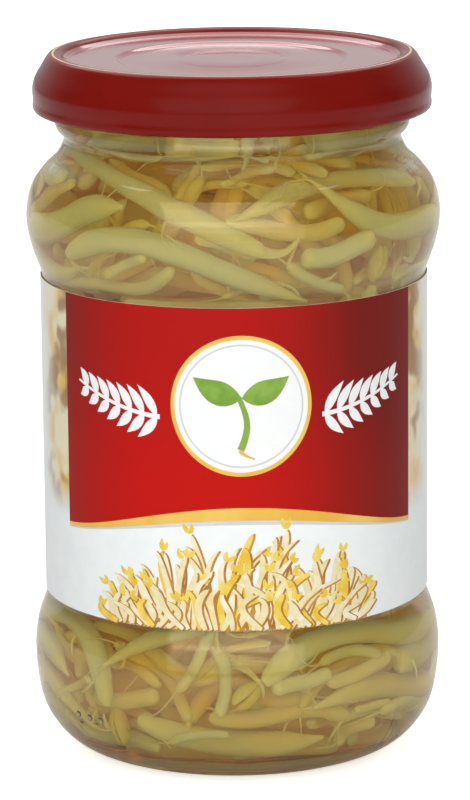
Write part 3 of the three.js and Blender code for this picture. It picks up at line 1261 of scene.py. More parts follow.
@dataclass
class Sprouts:
    """Every sprout in the jar, with its seed leaves and root hairs."""

    jar: GlassJar
    sides: int = 14
    rings: int = 30
    seed: int = 777
    route_places: int = 9
    least_half: float = 0.35
    least_radius: float = 2.0
    dip: Pair = (0, 4)
    bend: float = 0.12
    wave: float = 0.16
    hook: float = 0.3
    # Painted shade: the paleness a bundled sprout loses for each millimetre it lies in from the glass.
    depth_shade: float = 0.13
    smallest: float = 0.35
    misses_to_nothing: int = 90
    misses_to_double_press: int = 300
    lots_with_tails: int = 160
    tailless: float = 0.4
    hooked: float = 0.6
    tail_heights: Pair = (6.2, 116.0)
    tail_stretches: int = 8
    hair_every: int = 2
    hair_places: int = 7
    hair_heights: Pair = (6.0, 116.5)
    flake_every: int = 15
    leaf_size: tuple[float, float, float] = (3.1, 1.75, 1.9)
    # The neck and inner lots have lower tones, as painted shade under the lid and deep in the jar.
    fills: tuple[Fill, ...] = (
        Fill("loose_sprouts_floor", 5.3, 13, 30, (1.2, 1.9), (18, 36), (0, 5), 0.3, 0.6, 0.2),
        Fill("loose_sprouts_low", 5.6, 33, 60, (1.2, 2.2), (24, 50), (0, 5), 1.3, 0.5, 0.5),
        Fill("loose_sprouts_neck", 103, 117, 26, (1.2, 2.1), (16, 34), (0, 3), 1.2, 0.5, 0.2, (0.0, 0.5)),
        Fill("loose_sprouts_high", 84, 117, 90, (1.1, 2.2), (22, 48), (0, 5), 1.5, 0.5, 0.5),
        Fill("loose_sprouts_middle", 30, 86, 36, (1.6, 2.4), (34, 56), (0, 5), 1.2, 0.7, 0.1),
        Fill("inner_sprouts_low", 9, 34, 34, (1.9, 2.7), (30, 50), (6, 18), 0.8, 1.2, 0.1, (0.0, 0.3)),
        Fill("inner_sprouts_high", 82, 115, 40, (1.9, 2.7), (30, 50), (5, 18), 0.9, 1.2, 0.1, (0.0, 0.3)),
    )
    bands: tuple[tuple[str, int, int], ...] = (
        ("floor_sprouts", 0, 4),
        ("low_sprouts", 4, 18),
        ("middle_sprouts", 18, 26),
        ("high_sprouts", 26, 42),
    )

    def __post_init__(self) -> None:
        """Lays the sprouts of the model."""
        self.plan = SproutPlan(self.jar)
        self.draw = SeededDraw(self.seed)
        self.first = self.plan.stems()
        self.heap = Heap()
        for stem in self.first:
            self.heap.add(*self.plan.balls(stem))
        self.master = self.straight_stem("straight_sprout", self.sides, self.rings, SproutPlan.girth)
        self.blunt = self.straight_stem("blunt_sprout", self.sides, self.rings, self.blunt_girth)
        self.thread = self.straight_stem("straight_hair", 5, 12, lambda along: 1 - 0.75 * along)
        self.flesh = FleshFinish().material()
        self.guides: list[bpy.types.Object] = []

    @staticmethod
    def blunt_girth(along: float) -> float:
        """The share of full thickness of a loose sprout, which swells soon after its root."""
        return smoothstep(along, -0.1, 0.1) * (1 - 0.3 * smoothstep(along, 0.88, 1.04))

    @staticmethod
    def straight_stem(name: str, sides: int, rings: int, girth: Callable[[float], float]) -> bpy.types.Object:
        """One straight stem a metre long and a metre in half thickness, which every sprout is bent from.

        Args:
            name: The stem's name.
            sides: Sides round it.
            rings: Stretches along it.
            girth: Its share of full thickness at a share of its length.

        Returns:
            The stem, along +X from the origin.
        """
        deselect()
        least, tip = 0.08, 0.55
        start = max(girth(0.0), least)
        bpy.ops.mesh.primitive_circle_add(vertices=sides, radius=start, rotation=(0, math.pi / 2, 0))
        stem = bpy.context.object
        bpy.ops.object.transform_apply(rotation=True)
        bpy.ops.object.mode_set(mode="EDIT")
        bpy.ops.mesh.select_all(action="SELECT")
        before = start
        for ring in range(1, rings + 1):
            bpy.ops.mesh.extrude_region_move(TRANSFORM_OT_translate={"value": (1 / rings, 0, 0)})
            share = max(girth(ring / rings), least)
            if ring == rings:
                share *= tip
            bpy.ops.transform.resize(value=(1, share / before, share / before))
            before = share
        bpy.ops.mesh.edge_face_add()
        bpy.ops.mesh.poke()
        bpy.ops.object.mode_set(mode="OBJECT")
        bpy.ops.object.mode_set(mode="EDIT")
        bpy.ops.mesh.select_all(action="DESELECT")
        bpy.ops.mesh.select_non_manifold(extend=False)
        bpy.ops.mesh.edge_face_add()
        bpy.ops.mesh.poke()
        bpy.ops.object.mode_set(mode="OBJECT")
        stem.name = name
        clean(stem)
        note(stem, "along", corners_of(stem)[:, 0])
        stem.hide_render = True
        return stem

    def bent(self, master: bpy.types.Object, route: np.ndarray, thick: float, tone: float) -> bpy.types.Object:
        """Copies a straight stem and bends it along a route.

        Args:
            master: The straight stem.
            route: Places in millimetres that the middle of the stem passes through.
            thick: Its full half thickness in millimetres.
            tone: Its paleness from 0 to 1, which on bundled sprouts is lowered with depth as painted shade.

        Returns:
            The copy, with the Curve modifier that bends it.
        """
        path = rounded(route, (len(route) - 1) * 4) * MM
        length = float(np.linalg.norm(np.diff(path, axis=0), axis=1).sum())
        line = bpy.data.curves.new("route", "CURVE")
        line.dimensions = "3D"
        spline = line.splines.new("POLY")
        spline.points.add(len(path) - 1)
        spline.points.foreach_set("co", np.hstack([path, np.ones((len(path), 1))]).ravel())
        guide = bpy.data.objects.new("route", line)
        bpy.context.collection.objects.link(guide)
        self.guides.append(guide)
        mesh = master.data.copy()
        mesh.transform(Matrix.Diagonal((length, thick * MM, thick * MM, 1)))
        copy = bpy.data.objects.new("sprout", mesh)
        bpy.context.collection.objects.link(copy)
        note(copy, "tone", np.full(len(mesh.vertices), tone))
        modifier = copy.modifiers.new("bend", "CURVE")
        modifier.object = guide
        modifier.deform_axis = "POS_X"
        return copy

    def bundle(
        self, name: str, stems: Sequence[Stem], master: bpy.types.Object, tones: Pair = (0.5, 1.0)
    ) -> bpy.types.Object:
        """Bends one copy of a straight stem for each sprout and joins them.

        Args:
            name: The piece's name.
            stems: The sprouts.
            master: The straight stem.
            tones: The range of their paleness, before the deeper ones lose some as painted shade.

        Returns:
            The piece.
        """
        parts = []
        for stem in stems:
            reach = np.hypot(stem.centres[:, 0], stem.centres[:, 1])
            limits = [self.plan.room(place[2], half) for place, half in zip(stem.centres, stem.halves)]
            depth = float(np.mean(np.array(limits) - reach))
            # Painted shade: sprouts lying deeper from the glass get a lower tone.
            tone = min(max(self.draw.between(*tones) - self.depth_shade * (depth - 1), 0.0), 1.0)
            parts.append(self.bent(master, stem.centres, stem.thick, tone))
        return self.gathered(name, parts)

    def gathered(self, name: str, parts: Sequence[bpy.types.Object]) -> bpy.types.Object:
        """Joins bent parts and clears their guides away."""
        group = joined(name, parts)
        for guide in self.guides:
            bpy.data.curves.remove(guide.data)
        self.guides = []
        return group

    def loose(self, fill: Fill, scale: float) -> Stem | None:
        """Makes one try at a loose sprout, with its curled root if it has one.

        Args:
            fill: The lot that it belongs to.
            scale: A share of the lot's usual size.

        Returns:
            The sprout, or None if it leaves its lot's zone.
        """
        draw, plan = self.draw, self.plan
        count = self.route_places
        length = draw.between(*fill.length) * scale
        thick = draw.between(*fill.thick) * math.sqrt(scale)
        way = -1 if draw() < 0.5 else 1
        depth = draw.between(*fill.depth)
        dip = draw.between(*self.dip)
        angle = draw() * TURN
        height = draw.between(fill.low, fill.high)
        heading = (draw() - 0.5) * 2 * fill.tilt
        bend = (draw() - 0.5) * self.bend
        wave = (draw() - 0.5) * self.wave
        hook = (draw() - 0.5) * 2 if draw() < fill.curl else 0.0
        step = length / (count - 1)
        centres, halves = [], []
        for i in range(count):
            along = 1 - i / (count - 1)
            half = max(thick * plan.girth(along), self.least_half)
            if not fill.low <= height <= fill.high:
                return None
            inward = depth + dip * math.sin(math.pi * along) ** 2
            radius = max(plan.room(height, half) - inward, self.least_radius)
            centres.append((radius * math.cos(angle), radius * math.sin(angle), height))
            halves.append(half)
            curl = hook * self.hook * smoothstep(0.45 - along, 0.0, 0.45)
            heading += (bend + wave * math.sin(TURN * along) + curl) * step
            angle += (way * step * math.cos(heading)) / radius
            height += step * math.sin(heading)
        return Stem(np.array(centres[::-1]), np.array(halves[::-1]), thick)

    def laid(self, fill: Fill) -> list[Stem]:
        """Lays the loose sprouts of one lot.

        Each is pressed lightly against those before it, and is smaller where it's tight.

        Args:
            fill: The lot.

        Returns:
            Its sprouts.
        """
        made = []
        misses = 0
        while len(made) < fill.count:
            scale = max(self.smallest, 1 - misses / self.misses_to_nothing)
            stem = self.loose(fill, scale)
            misses += 1
            if stem is None:
                continue
            balls = self.plan.balls(stem, 2)
            if self.heap.clears(*balls, -fill.press * (1 + misses / self.misses_to_double_press)):
                self.heap.add(*balls)
                made.append(stem)
                misses = 0
        return made

    def tendril(
        self, start: np.ndarray, heading: np.ndarray, thick: float, step: float, curl: float, shades: Pair
    ) -> bpy.types.Object:
        """A thin end that grows on from a stem and wanders along the glass.

        Args:
            start: Where it starts, in millimetres.
            heading: The way it starts off.
            thick: Its half thickness at the start.
            step: The length of each of its stretches.
            curl: How fast it turns, in radians a millimetre.
            shades: The marks of 'along' at its start and end.

        Returns:
            The tendril, with the modifier that bends it.
        """
        draw, plan = self.draw, self.plan
        radius, height = math.hypot(start[0], start[1]), start[2]
        angle = math.atan2(start[1], start[0])
        out = np.array([math.cos(angle), math.sin(angle), 0.0])
        round_way = np.array([-out[1], out[0], 0.0])
        aim = math.atan2(heading[2], float(heading @ round_way))
        depth = max(plan.room(height, thick) - radius, 0.0)
        settle_depth = draw.between(0.0, 1.6)
        sway = (draw() - 0.5) * 0.3
        route = [start]
        low, high = self.tail_heights
        for k in range(1, self.tail_stretches + 1):
            aim += (curl + sway * math.sin(k * 0.9)) * step
            height = min(max(height + step * math.sin(aim), low), high)
            angle += step * math.cos(aim) / max(radius, 6.0)
            share = smoothstep(k, 0, 6)
            inward = lerp(depth, settle_depth, share)
            radius = max(plan.room(height, thick * 0.7) - inward, self.least_radius)
            route.append(np.array([radius * math.cos(angle), radius * math.sin(angle), height]))
        made = self.bent(self.thread, np.array(route), thick, draw.between(0.2, 0.9))
        along = np.zeros(len(made.data.vertices))
        made.data.attributes["along"].data.foreach_get("value", along)
        note(made, "along", shades[0] + (shades[1] - shades[0]) * along)
        return made

    def ends(self, stem: Stem) -> list[bpy.types.Object]:
        """Grows the root tail of a sprout, and a hooked neck where it has no seed leaves.

        Args:
            stem: The sprout.

        Returns:
            The parts, none for a sprout that broke off short.
        """
        draw = self.draw
        away = stem.centres[0] - stem.centres[1]
        start = stem.centres[0] - away * 0.2
        if draw() < self.tailless:
            return []
        thick = max(stem.thick * 0.17, 0.22)
        curl = (draw() - 0.5) * 0.36
        made = [self.tendril(start, unit(away), thick, draw.between(0.5, 1.5), curl, (0.2, 0.0))]
        if stem.leaf is None and draw() < self.hooked:
            away = unit(stem.centres[-1] - stem.centres[-2])
            start = stem.centres[-1] - away * 0.9
            curl = draw.between(0.12, 0.34) * (-1 if draw() < 0.5 else 1)
            made.append(
                self.tendril(start, away, stem.thick * 0.56, draw.between(0.7, 1.2), curl, (0.8, 1.0))
            )
        return made

    def hair(self, stem: Stem) -> bpy.types.Object:
        """One fine root hair that wanders off from a stem's root.

        Args:
            stem: The sprout.

        Returns:
            The hair, with the modifier that bends it.
        """
        draw = self.draw
        index = int(draw.between(0, 2.99))
        place = stem.centres[index].copy()
        heading = unit(np.array([draw() - 0.5, draw() - 0.5, draw() - 0.5]))
        step = draw.between(0.9, 2.0)
        route = []
        low, high = self.hair_heights
        for _ in range(self.hair_places):
            self.plan.keep_in(place, 0.25)
            route.append(place.copy())
            heading = unit(heading + np.array([draw() - 0.5, draw() - 0.5, draw() - 0.5]) * 0.9)
            place = place + heading * step
            place[2] = min(max(place[2], low), high)
        return self.bent(self.thread, np.array(route), draw.between(0.16, 0.34), draw.between(0.2, 0.8))

    def seed_leaf(self, place: SeedLeafPlace, scale: float) -> bpy.types.Object:
        """Models one pair of seed leaves, parted along its groove.

        Args:
            place: Where it sits.
            scale: A share of its usual size.

        Returns:
            The pair.
        """
        halves = []
        for way in (-1, 1):
            deselect()
            bpy.ops.mesh.primitive_uv_sphere_add(segments=20, ring_count=12, radius=1)
            half = bpy.context.object
            corners = corners_of(half)
            corners[:, 2] = np.where(corners[:, 2] * way > 0, corners[:, 2], corners[:, 2] * 0.25)
            bow = 0.22 * (corners[:, 0] ** 2)
            corners[:, 1] *= 1 - 0.12 * corners[:, 0]
            corners[:, 2] = corners[:, 2] * 0.82 + way * (0.16 - bow * 0.4 + 0.12 * corners[:, 0])
            move_corners(half, corners * np.array(self.leaf_size) * scale)
            halves.append(half)
        pair = joined("seed_leaf", halves)
        frame = np.column_stack([place.along, place.out, place.side])
        move_corners(pair, (corners_of(pair) @ frame.T + place.centre) * MM)
        clean(pair)
        return pair

    def leaf_flake(self, stem: Stem) -> bpy.types.Object:
        """One small loose seed leaf near the end of a stem."""
        along = unit(stem.centres[-1] - stem.centres[-2])
        centre = stem.centres[-1] + along * 1.6
        self.plan.keep_in(centre, 1.7)
        return self.seed_leaf(self.plan.facing(centre, along), self.draw.between(0.5, 0.75))

    def build(self) -> list[bpy.types.Object]:
        """Models every sprout, leaf and hair and dresses them."""
        pieces = []
        for name, start, end in self.bands:
            nodes = [f"sprout_{i + 1:02d}" for i in range(start, end)]
            pieces.append(self.finish_group(self.bundle(name, self.first[start:end], self.master), nodes))
        lots = [stem for fill in self.fills for stem in self.add_lot(fill, pieces)]
        leaves = [s for s in self.first if s.leaf]
        heads = joined("seed_leaf_heads", [self.seed_leaf(s.leaf, 1.0) for s in leaves])
        leaf = SeedLeafFinish().material()
        self.finish_leaf(heads, leaf, [f"seed_leaves_{i + 1:02d}" for i in range(len(leaves))])
        flakes = joined("loose_seed_leaves", [self.leaf_flake(s) for s in lots[:: self.flake_every]])
        self.finish_leaf(flakes, leaf, [])
        everyone = [*self.first, *lots[: self.lots_with_tails]]
        tails = [part for stem in everyone for part in self.ends(stem)]
        pieces.append(self.finish_group(self.gathered("root_tails_and_hooks", tails), []))
        hairs = [self.hair(stem) for stem in everyone[:: self.hair_every]]
        pieces.append(self.finish_group(self.gathered("root_hairs", hairs), []))
        for master in (self.master, self.blunt, self.thread):
            bpy.data.objects.remove(master)
        return [*pieces, heads, flakes]

    def add_lot(self, fill: Fill, pieces: list[bpy.types.Object]) -> list[Stem]:
        """Lays and models one lot of loose sprouts."""
        stems = self.laid(fill)
        pieces.append(self.finish_group(self.bundle(fill.name, stems, self.blunt, fill.tones), []))
        return stems

    def finish_group(self, group: bpy.types.Object, nodes: list[str]) -> bpy.types.Object:
        """Shades, dresses and settles one group of stems."""
        shade(group, 60)
        dress(group, self.flesh)
        return settle(group, Body.JAR, Slot.FLESH, *nodes)

    @staticmethod
    def finish_leaf(group: bpy.types.Object, material: bpy.types.Material, nodes: list[str]) -> None:
        """Shades, dresses and settles one group of seed leaves."""
        shade(group, 60)
        dress(group, material)
        settle(group, Body.JAR, Slot.SEED_LEAF, *nodes)


# Label


class Ink(Enum):
    """The inks of the label, as its material slots."""

    PAPER = 0
    RED = 1
    GOLD = 2
    WHITE = 3
    CLOUD = 4
    CREAM = 5
    YELLOW = 6
    BROWN = 7
    GREEN = 8
    GREY = 9
    PALE = 10


@dataclass
class Label:
    """The paper strip and its printing. Printed places are arc from the front and height, in millimetres."""

    low: float = 28.4
    high: float = 84.7
    radius: float = 33.92
    thickness: float = 0.14
    lap: float = 9.0
    lap_lift: float = 0.5
    layer: float = 0.005
    red_left: float = -34.5
    red_right: float = 36.7
    red_foot: float = 15.6
    red_rise: float = 6.0
    roundel: Pair = (1.1, 39.4)
    roundel_size: float = 12.2
    seed: int = 4242
    blanks: dict[tuple[int, int], bpy.types.Mesh] = field(default_factory=dict)

    @property
    def height(self) -> float:
        """The strip's height."""
        return self.high - self.low

    def wrap(self, flat: np.ndarray) -> np.ndarray:
        """Rolls flat places onto the jar.

        Args:
            flat: Rows of arc, height and rise off the paper, in millimetres.

        Returns:
            The places in metres.
        """
        face = self.radius + self.thickness
        turn = flat[:, 0] / face
        radius = face + flat[:, 2]
        places = np.column_stack([radius * np.sin(turn), -radius * np.cos(turn), flat[:, 1] + self.low])
        return places * MM

    def strip(self) -> bpy.types.Object:
        """The paper, whose end laps over its start at the back."""
        steps = 288
        turn = TURN + math.radians(self.lap)
        deselect()
        bpy.ops.mesh.primitive_grid_add(x_subdivisions=steps, y_subdivisions=8, size=1)
        paper = bpy.context.object
        corners = corners_of(paper)
        share = corners[:, 0] + 0.5
        angle = math.pi / 2 + share * turn
        lap = math.radians(self.lap)
        climb = np.array([smoothstep(s * turn, TURN - 2 * lap, TURN - 0.4 * lap) for s in share])
        radius = self.radius + climb * self.lap_lift
        height = self.low + (corners[:, 1] + 0.5) * self.height
        move_corners(paper, np.column_stack([radius * np.cos(angle), radius * np.sin(angle), height]) * MM)
        clean(paper, 0.0001 * MM)
        offset = 1.0 if self.outward(paper) else -1.0
        finish_with(paper, "SOLIDIFY", thickness=self.thickness * MM, offset=offset)
        return paper

    @staticmethod
    def outward(piece: bpy.types.Object) -> bool:
        """True if the first face of an open strip round the axis looks outward."""
        face = piece.data.polygons[0]
        return face.center.x * face.normal.x + face.center.y * face.normal.y > 0

    def blank(self, columns: int, rows: int) -> bpy.types.Object:
        """Copies a flat grid one unit across from the first of its kind.

        Args:
            columns: Its stretches across.
            rows: Its stretches up.

        Returns:
            The grid.
        """
        if (columns, rows) not in self.blanks:
            deselect()
            bpy.ops.mesh.primitive_grid_add(x_subdivisions=columns, y_subdivisions=rows, size=1)
            first = bpy.context.object
            self.blanks[columns, rows] = first.data
            bpy.data.objects.remove(first)
        sheet = bpy.data.objects.new("blank", self.blanks[columns, rows].copy())
        bpy.context.collection.objects.link(sheet)
        return sheet

    def printed(self, name: str, flat: bpy.types.Object, ink: Ink, layer: int) -> bpy.types.Object:
        """Lifts a flat shape to its layer and inks it.

        Args:
            name: Its name.
            flat: The shape.
            ink: Its ink.
            layer: How many films lie under it.

        Returns:
            The same shape.
        """
        flat.name = name
        corners = corners_of(flat)
        corners[:, 2] = self.layer * layer
        move_corners(flat, corners)
        self.ink(flat, ink)
        return flat

    def ink(self, part: bpy.types.Object, ink: Ink) -> None:
        """Gives a part of the label one of the label's inks."""
        dress(part, *self.inks)
        part.data.polygons.foreach_set("material_index", [ink.value] * len(part.data.polygons))

    def band(self, name: str, points: np.ndarray, halves: np.ndarray, ink: Ink, layer: int) -> bpy.types.Object:
        """A printed stroke along points, with a half width at each.

        Args:
            name: The stroke's name.
            points: Places of arc and height.
            halves: Half widths, one for each place.
            ink: Its ink.
            layer: How many films lie under it.

        Returns:
            The stroke, still flat.
        """
        stroke = self.blank(len(points) - 1, max(1, math.ceil(2 * float(np.abs(halves).max()) / 0.7)))
        corners = corners_of(stroke)
        index = np.rint((corners[:, 0] + 0.5) * (len(points) - 1)).astype(int)
        reach = 2 * corners[:, 1][:, None] * halves[index][:, None]
        places = points[index] + beside(points)[index] * reach
        move_corners(stroke, np.column_stack([places, np.zeros(len(places))]))
        return self.printed(name, stroke, ink, layer)

    def oval(self, name: str, centre: Pair, size: Pair, ink: Ink, layer: int) -> bpy.types.Object:
        """A printed filled oval."""
        turn = np.linspace(-math.pi / 2, math.pi / 2, max(10, int(size[0] * 5)))
        points = np.column_stack([centre[0] + size[0] * np.sin(turn), np.full(len(turn), centre[1])])
        return self.band(name, points, np.maximum(size[1] * np.cos(turn), 0.001), ink, layer)

    def column_fill(
        self, name: str, left: float, right: float, foot: Callable[[float], float], ink: Ink, layer: int
    ) -> bpy.types.Object:
        """Prints a panel that reaches up to the top of the paper.

        Args:
            name: Its name.
            left: Its left edge.
            right: Its right edge.
            foot: The rule that gives its lower edge at an arc.
            ink: Its ink.
            layer: How many films lie under it.

        Returns:
            The panel.
        """
        steps = max(8, int((right - left) / 0.7))
        arcs = np.linspace(left, right, steps + 1)
        feet = np.array([foot(a) for a in arcs])
        top = self.height - 0.02
        middles = (feet + top) / 2
        panel = self.blank(steps, 4)
        corners = corners_of(panel)
        index = np.rint((corners[:, 0] + 0.5) * steps).astype(int)
        heights = middles[index] + corners[:, 1] * (top - feet[index])
        move_corners(panel, np.column_stack([arcs[index], heights, np.zeros(len(index))]))
        return self.printed(name, panel, ink, layer)

    def arch(self, arc: float) -> float:
        """The height of the red panel's lower edge."""
        middle = (self.red_left + self.red_right) / 2
        half = (self.red_right - self.red_left) / 2
        share = (arc - middle) / half
        return self.red_foot + self.red_rise * math.cos(share * math.pi / 2) ** 1.5

    def leaf(self, name: str, root: Pair, tip: Pair, width: float, ink: Ink, layer: int) -> bpy.types.Object:
        """Prints a pointed leaf.

        Args:
            name: Its name.
            root: Where it starts.
            tip: Where it ends.
            width: Its half width, below 0 to bow the other way.
            ink: Its ink.
            layer: How many films lie under it.

        Returns:
            The leaf.
        """
        shares = np.linspace(0, 1, 13)
        points = np.column_stack([lerp(root[0], tip[0], shares), lerp(root[1], tip[1], shares)])
        across = unit(np.array([-(tip[1] - root[1]), tip[0] - root[0]]))
        points += np.sin(shares * math.pi)[:, None] * across * width * 0.35
        halves = width * np.sin(shares**0.8 * math.pi) + 0.02
        return self.band(name, points, halves, ink, layer)

    def panels(self) -> list[bpy.types.Object]:
        """The red panel with its gold edge, and the clouds beside it."""
        arcs = np.linspace(self.red_left, self.red_right, 80)
        swell = 0.35 + 0.75 * np.cos((arcs - arcs.mean()) / (arcs[-1] - arcs[0]) * math.pi) ** 2
        edge = np.column_stack([arcs, np.array([self.arch(a) for a in arcs]) - swell + 0.1])
        shadow = edge - np.column_stack([0 * arcs, swell])
        return [
            self.column_fill("cloud_left", -47.5, self.red_left + 0.1, lambda _: 15.5, Ink.CLOUD, 1),
            self.column_fill("cloud_right", self.red_right - 0.1, 49.5, lambda _: 15.5, Ink.CLOUD, 1),
            self.column_fill("red_panel", self.red_left, self.red_right, self.arch, Ink.RED, 2),
            self.band("gold_shadow", shadow, swell * 0.7, Ink.GREY, 1),
            self.band("gold_edge", edge, swell, Ink.GOLD, 3),
        ]

    def badge(self) -> list[bpy.types.Object]:
        """The plain round badge with a two-leaf seedling."""
        (x, y), size = self.roundel, self.roundel_size
        shares = np.linspace(0, 1, 22)
        stem = np.column_stack([x + 1.1 * np.sin(shares * 3.4) - 0.2, y - 7.6 + shares * 9.2])
        root = np.column_stack([x - 0.2 + 2.4 * shares**2, y - 7.6 - shares * 1.6])
        return [
            self.oval("badge_rim", (x, y), (size, size), Ink.GOLD, 3),
            self.oval("badge_field", (x, y), (size - 0.7, size - 0.7), Ink.WHITE, 4),
            self.oval("badge_line", (x, y), (size - 1.5, size - 1.5), Ink.GREY, 5),
            self.oval("badge_plate", (x, y), (size - 1.8, size - 1.8), Ink.WHITE, 6),
            self.band("seedling_stem", stem, 0.62 - 0.2 * shares, Ink.GREEN, 7),
            self.band("seedling_root", root, 0.42 - 0.3 * shares, Ink.GOLD, 7),
            self.leaf("seedling_leaf_left", (x, y + 1.4), (x - 8.2, y + 5.0), 2.1, Ink.GREEN, 8),
            self.leaf("seedling_leaf_right", (x, y + 1.4), (x + 8.2, y + 5.0), -2.1, Ink.GREEN, 8),
        ]

    def sprays(self) -> list[bpy.types.Object]:
        """A white leafy spray to each side of the badge."""
        (x, y), size = self.roundel, self.roundel_size
        parts = []
        reach = 17.5
        for way in (-1, 1):
            shares = np.linspace(0, 1, 34)
            line = np.column_stack([x + way * (size + 2.0 + shares * reach), y - 2.2 + 4.4 * shares**1.6])
            parts.append(self.band("spray_stem", line, 0.42 - 0.22 * shares, Ink.WHITE, 4))
            for k in range(7):
                share = 0.03 + k * 0.14
                root = (x + way * (size + 2.0 + share * reach), y - 2.2 + 4.4 * share**1.6)
                long = 5.6 - k * 0.45
                for lift in (-1, 1):
                    tip = (root[0] + way * long * 0.66, root[1] + lift * long * 0.82 + 0.7)
                    parts.append(self.leaf("spray_leaf", root, tip, 0.85 * way * lift, Ink.WHITE, 4))
        return parts

    def frieze(self) -> list[bpy.types.Object]:
        """Four rows of printed sprouts standing along the foot of the label, taller in the middle."""
        draw = SeededDraw(self.seed)
        arcs = np.linspace(-24.5, 24.5, 80)
        rise = 3.4 * np.cos(arcs / 49 * math.pi) ** 0.7 + 0.05
        parts = [self.band("print_ground", np.column_stack([arcs, rise + 0.05]), rise, Ink.BROWN, 3)]
        rows, count = 4, 30
        for row in range(rows):
            for k in range(count):
                arc = lerp(-23.2, 23.2, (k + draw()) / count)
                tall = (18.5 - 0.022 * arc * arc) * lerp(1.0, 0.4, row / (rows - 1)) * draw.between(0.78, 1.1)
                lean = draw.between(-4.5, 4.5) + arc * 0.1
                sway, curl = draw.between(-2.2, 2.2), draw.between(-3.2, 3.2)
                shares = np.linspace(0, 1, 17)
                line = np.column_stack(
                    [
                        arc + lean * shares + sway * np.sin(shares * math.pi) + curl * shares**5,
                        0.2 + tall * (shares - 0.09 * shares**5),
                    ]
                )
                swell = 0.55 + 0.45 * np.sin(shares * math.pi) ** 0.5
                halves = draw.between(0.42, 0.66) * swell * (1.003 - shares**12) ** 0.5
                layer = 4 + 6 * row + 2 * (k % 3)
                ink = (Ink.CREAM, Ink.PALE, Ink.CREAM, Ink.YELLOW, Ink.PALE)[(k * 7 + row) % 5]
                shade_line = line + np.array([0.3, -0.1])
                parts.append(self.band("print_shade", shade_line, halves + 0.1, Ink.BROWN, layer))
                parts.append(self.band("print_sprout", line, halves, ink, layer + 1))
                if (k + row) % 3 == 0:
                    parts += self.head(line, draw, layer + 2)
        return parts

    def head(self, line: np.ndarray, draw: SeededDraw, layer: int) -> list[bpy.types.Object]:
        """Prints two small seed leaves at the tip of a printed sprout.

        Args:
            line: The middle of the printed sprout.
            draw: The draw of their lengths and angles.
            layer: How many films lie under them.

        Returns:
            The leaves.
        """
        tip = line[-1]
        way = line[-1] - line[-3]
        aim = math.atan2(way[1], way[0])
        parts = []
        for side in (-1, 1):
            turn = aim + side * draw.between(0.2, 0.5)
            long = draw.between(1.5, 2.3)
            end = (tip[0] + long * math.cos(turn), tip[1] + long * math.sin(turn))
            parts.append(self.leaf("print_leaf", (tip[0], tip[1]), end, 0.42 * side, Ink.YELLOW, layer))
        return parts

    def back_panel(self) -> list[bpy.types.Object]:
        """A plain ruled frame on the back of the label."""
        middle = math.pi * (self.radius + self.thickness) * 0.72
        wide, tall = 17.0, 22.0
        centre = self.height / 2
        parts = []
        for way in (-1, 1):
            level = np.full(40, centre + way * tall)
            across = np.column_stack([np.linspace(middle - wide, middle + wide, 40), level])
            parts.append(self.band("back_rule", across, np.full(40, 0.35), Ink.GOLD, 1))
            upright = np.column_stack([np.full(2, middle + way * wide), [centre - tall, centre + tall]])
            parts.append(self.band("back_rule", upright, np.full(2, 0.35), Ink.GOLD, 1))
        return parts

    @cached_property
    def inks(self) -> list[bpy.types.Material]:
        """The label's materials, in the order of its inks."""
        return [
            PaperFinish("label_paper", (0.79, 0.82, 0.81), (0.76, 0.79, 0.79)).material(),
            RedInkWithPaintedShade().material(),
            PaperFinish("gold_ink", (0.72, 0.4, 0.05), (0.78, 0.52, 0.13), 0.26, 90).material(),
            PaperFinish("white_ink", (0.82, 0.83, 0.82), (0.79, 0.81, 0.8)).material(),
            BlotchedInk().material(),
            PaperFinish("cream_ink", (0.72, 0.6, 0.3), (0.8, 0.72, 0.48), 0.3, 420).material(),
            PaperFinish("yellow_ink", (0.72, 0.46, 0.04), (0.8, 0.62, 0.12), 0.3, 420).material(),
            PaperFinish("brown_ink", (0.36, 0.15, 0.025), (0.52, 0.27, 0.05), 0.3, 420).material(),
            PaperFinish("green_ink", (0.16, 0.3, 0.04), (0.24, 0.4, 0.07), 0.3, 300).material(),
            PaperFinish("grey_ink", (0.55, 0.56, 0.56), (0.6, 0.61, 0.61)).material(),
            PaperFinish("pale_ink", (0.8, 0.76, 0.58), (0.72, 0.62, 0.34), 0.3, 420).material(),
        ]

    def build(self) -> bpy.types.Object:
        """Models the paper and its printing and dresses them."""
        paper = self.strip()
        self.ink(paper, Ink.PAPER)
        films = joined(
            "printing", [*self.panels(), *self.badge(), *self.sprays(), *self.frieze(), *self.back_panel()]
        )
        finish_with(films, "SOLIDIFY", thickness=self.layer * 0.8, offset=0.0)
        move_corners(films, self.wrap(corners_of(films)))
        clean(films, 0.0005 * MM)
        label = joined("printed_label", [films, paper])
        shade(label, 30)
        return settle(label, Body.JAR, Slot.PAPER, "label")


# Lid and sealing ring


class Coat(Enum):
    """The lid's finishes, as its material slots."""

    OUTSIDE = 0
    INSIDE = 1
    TOP = 2
    WORN = 3


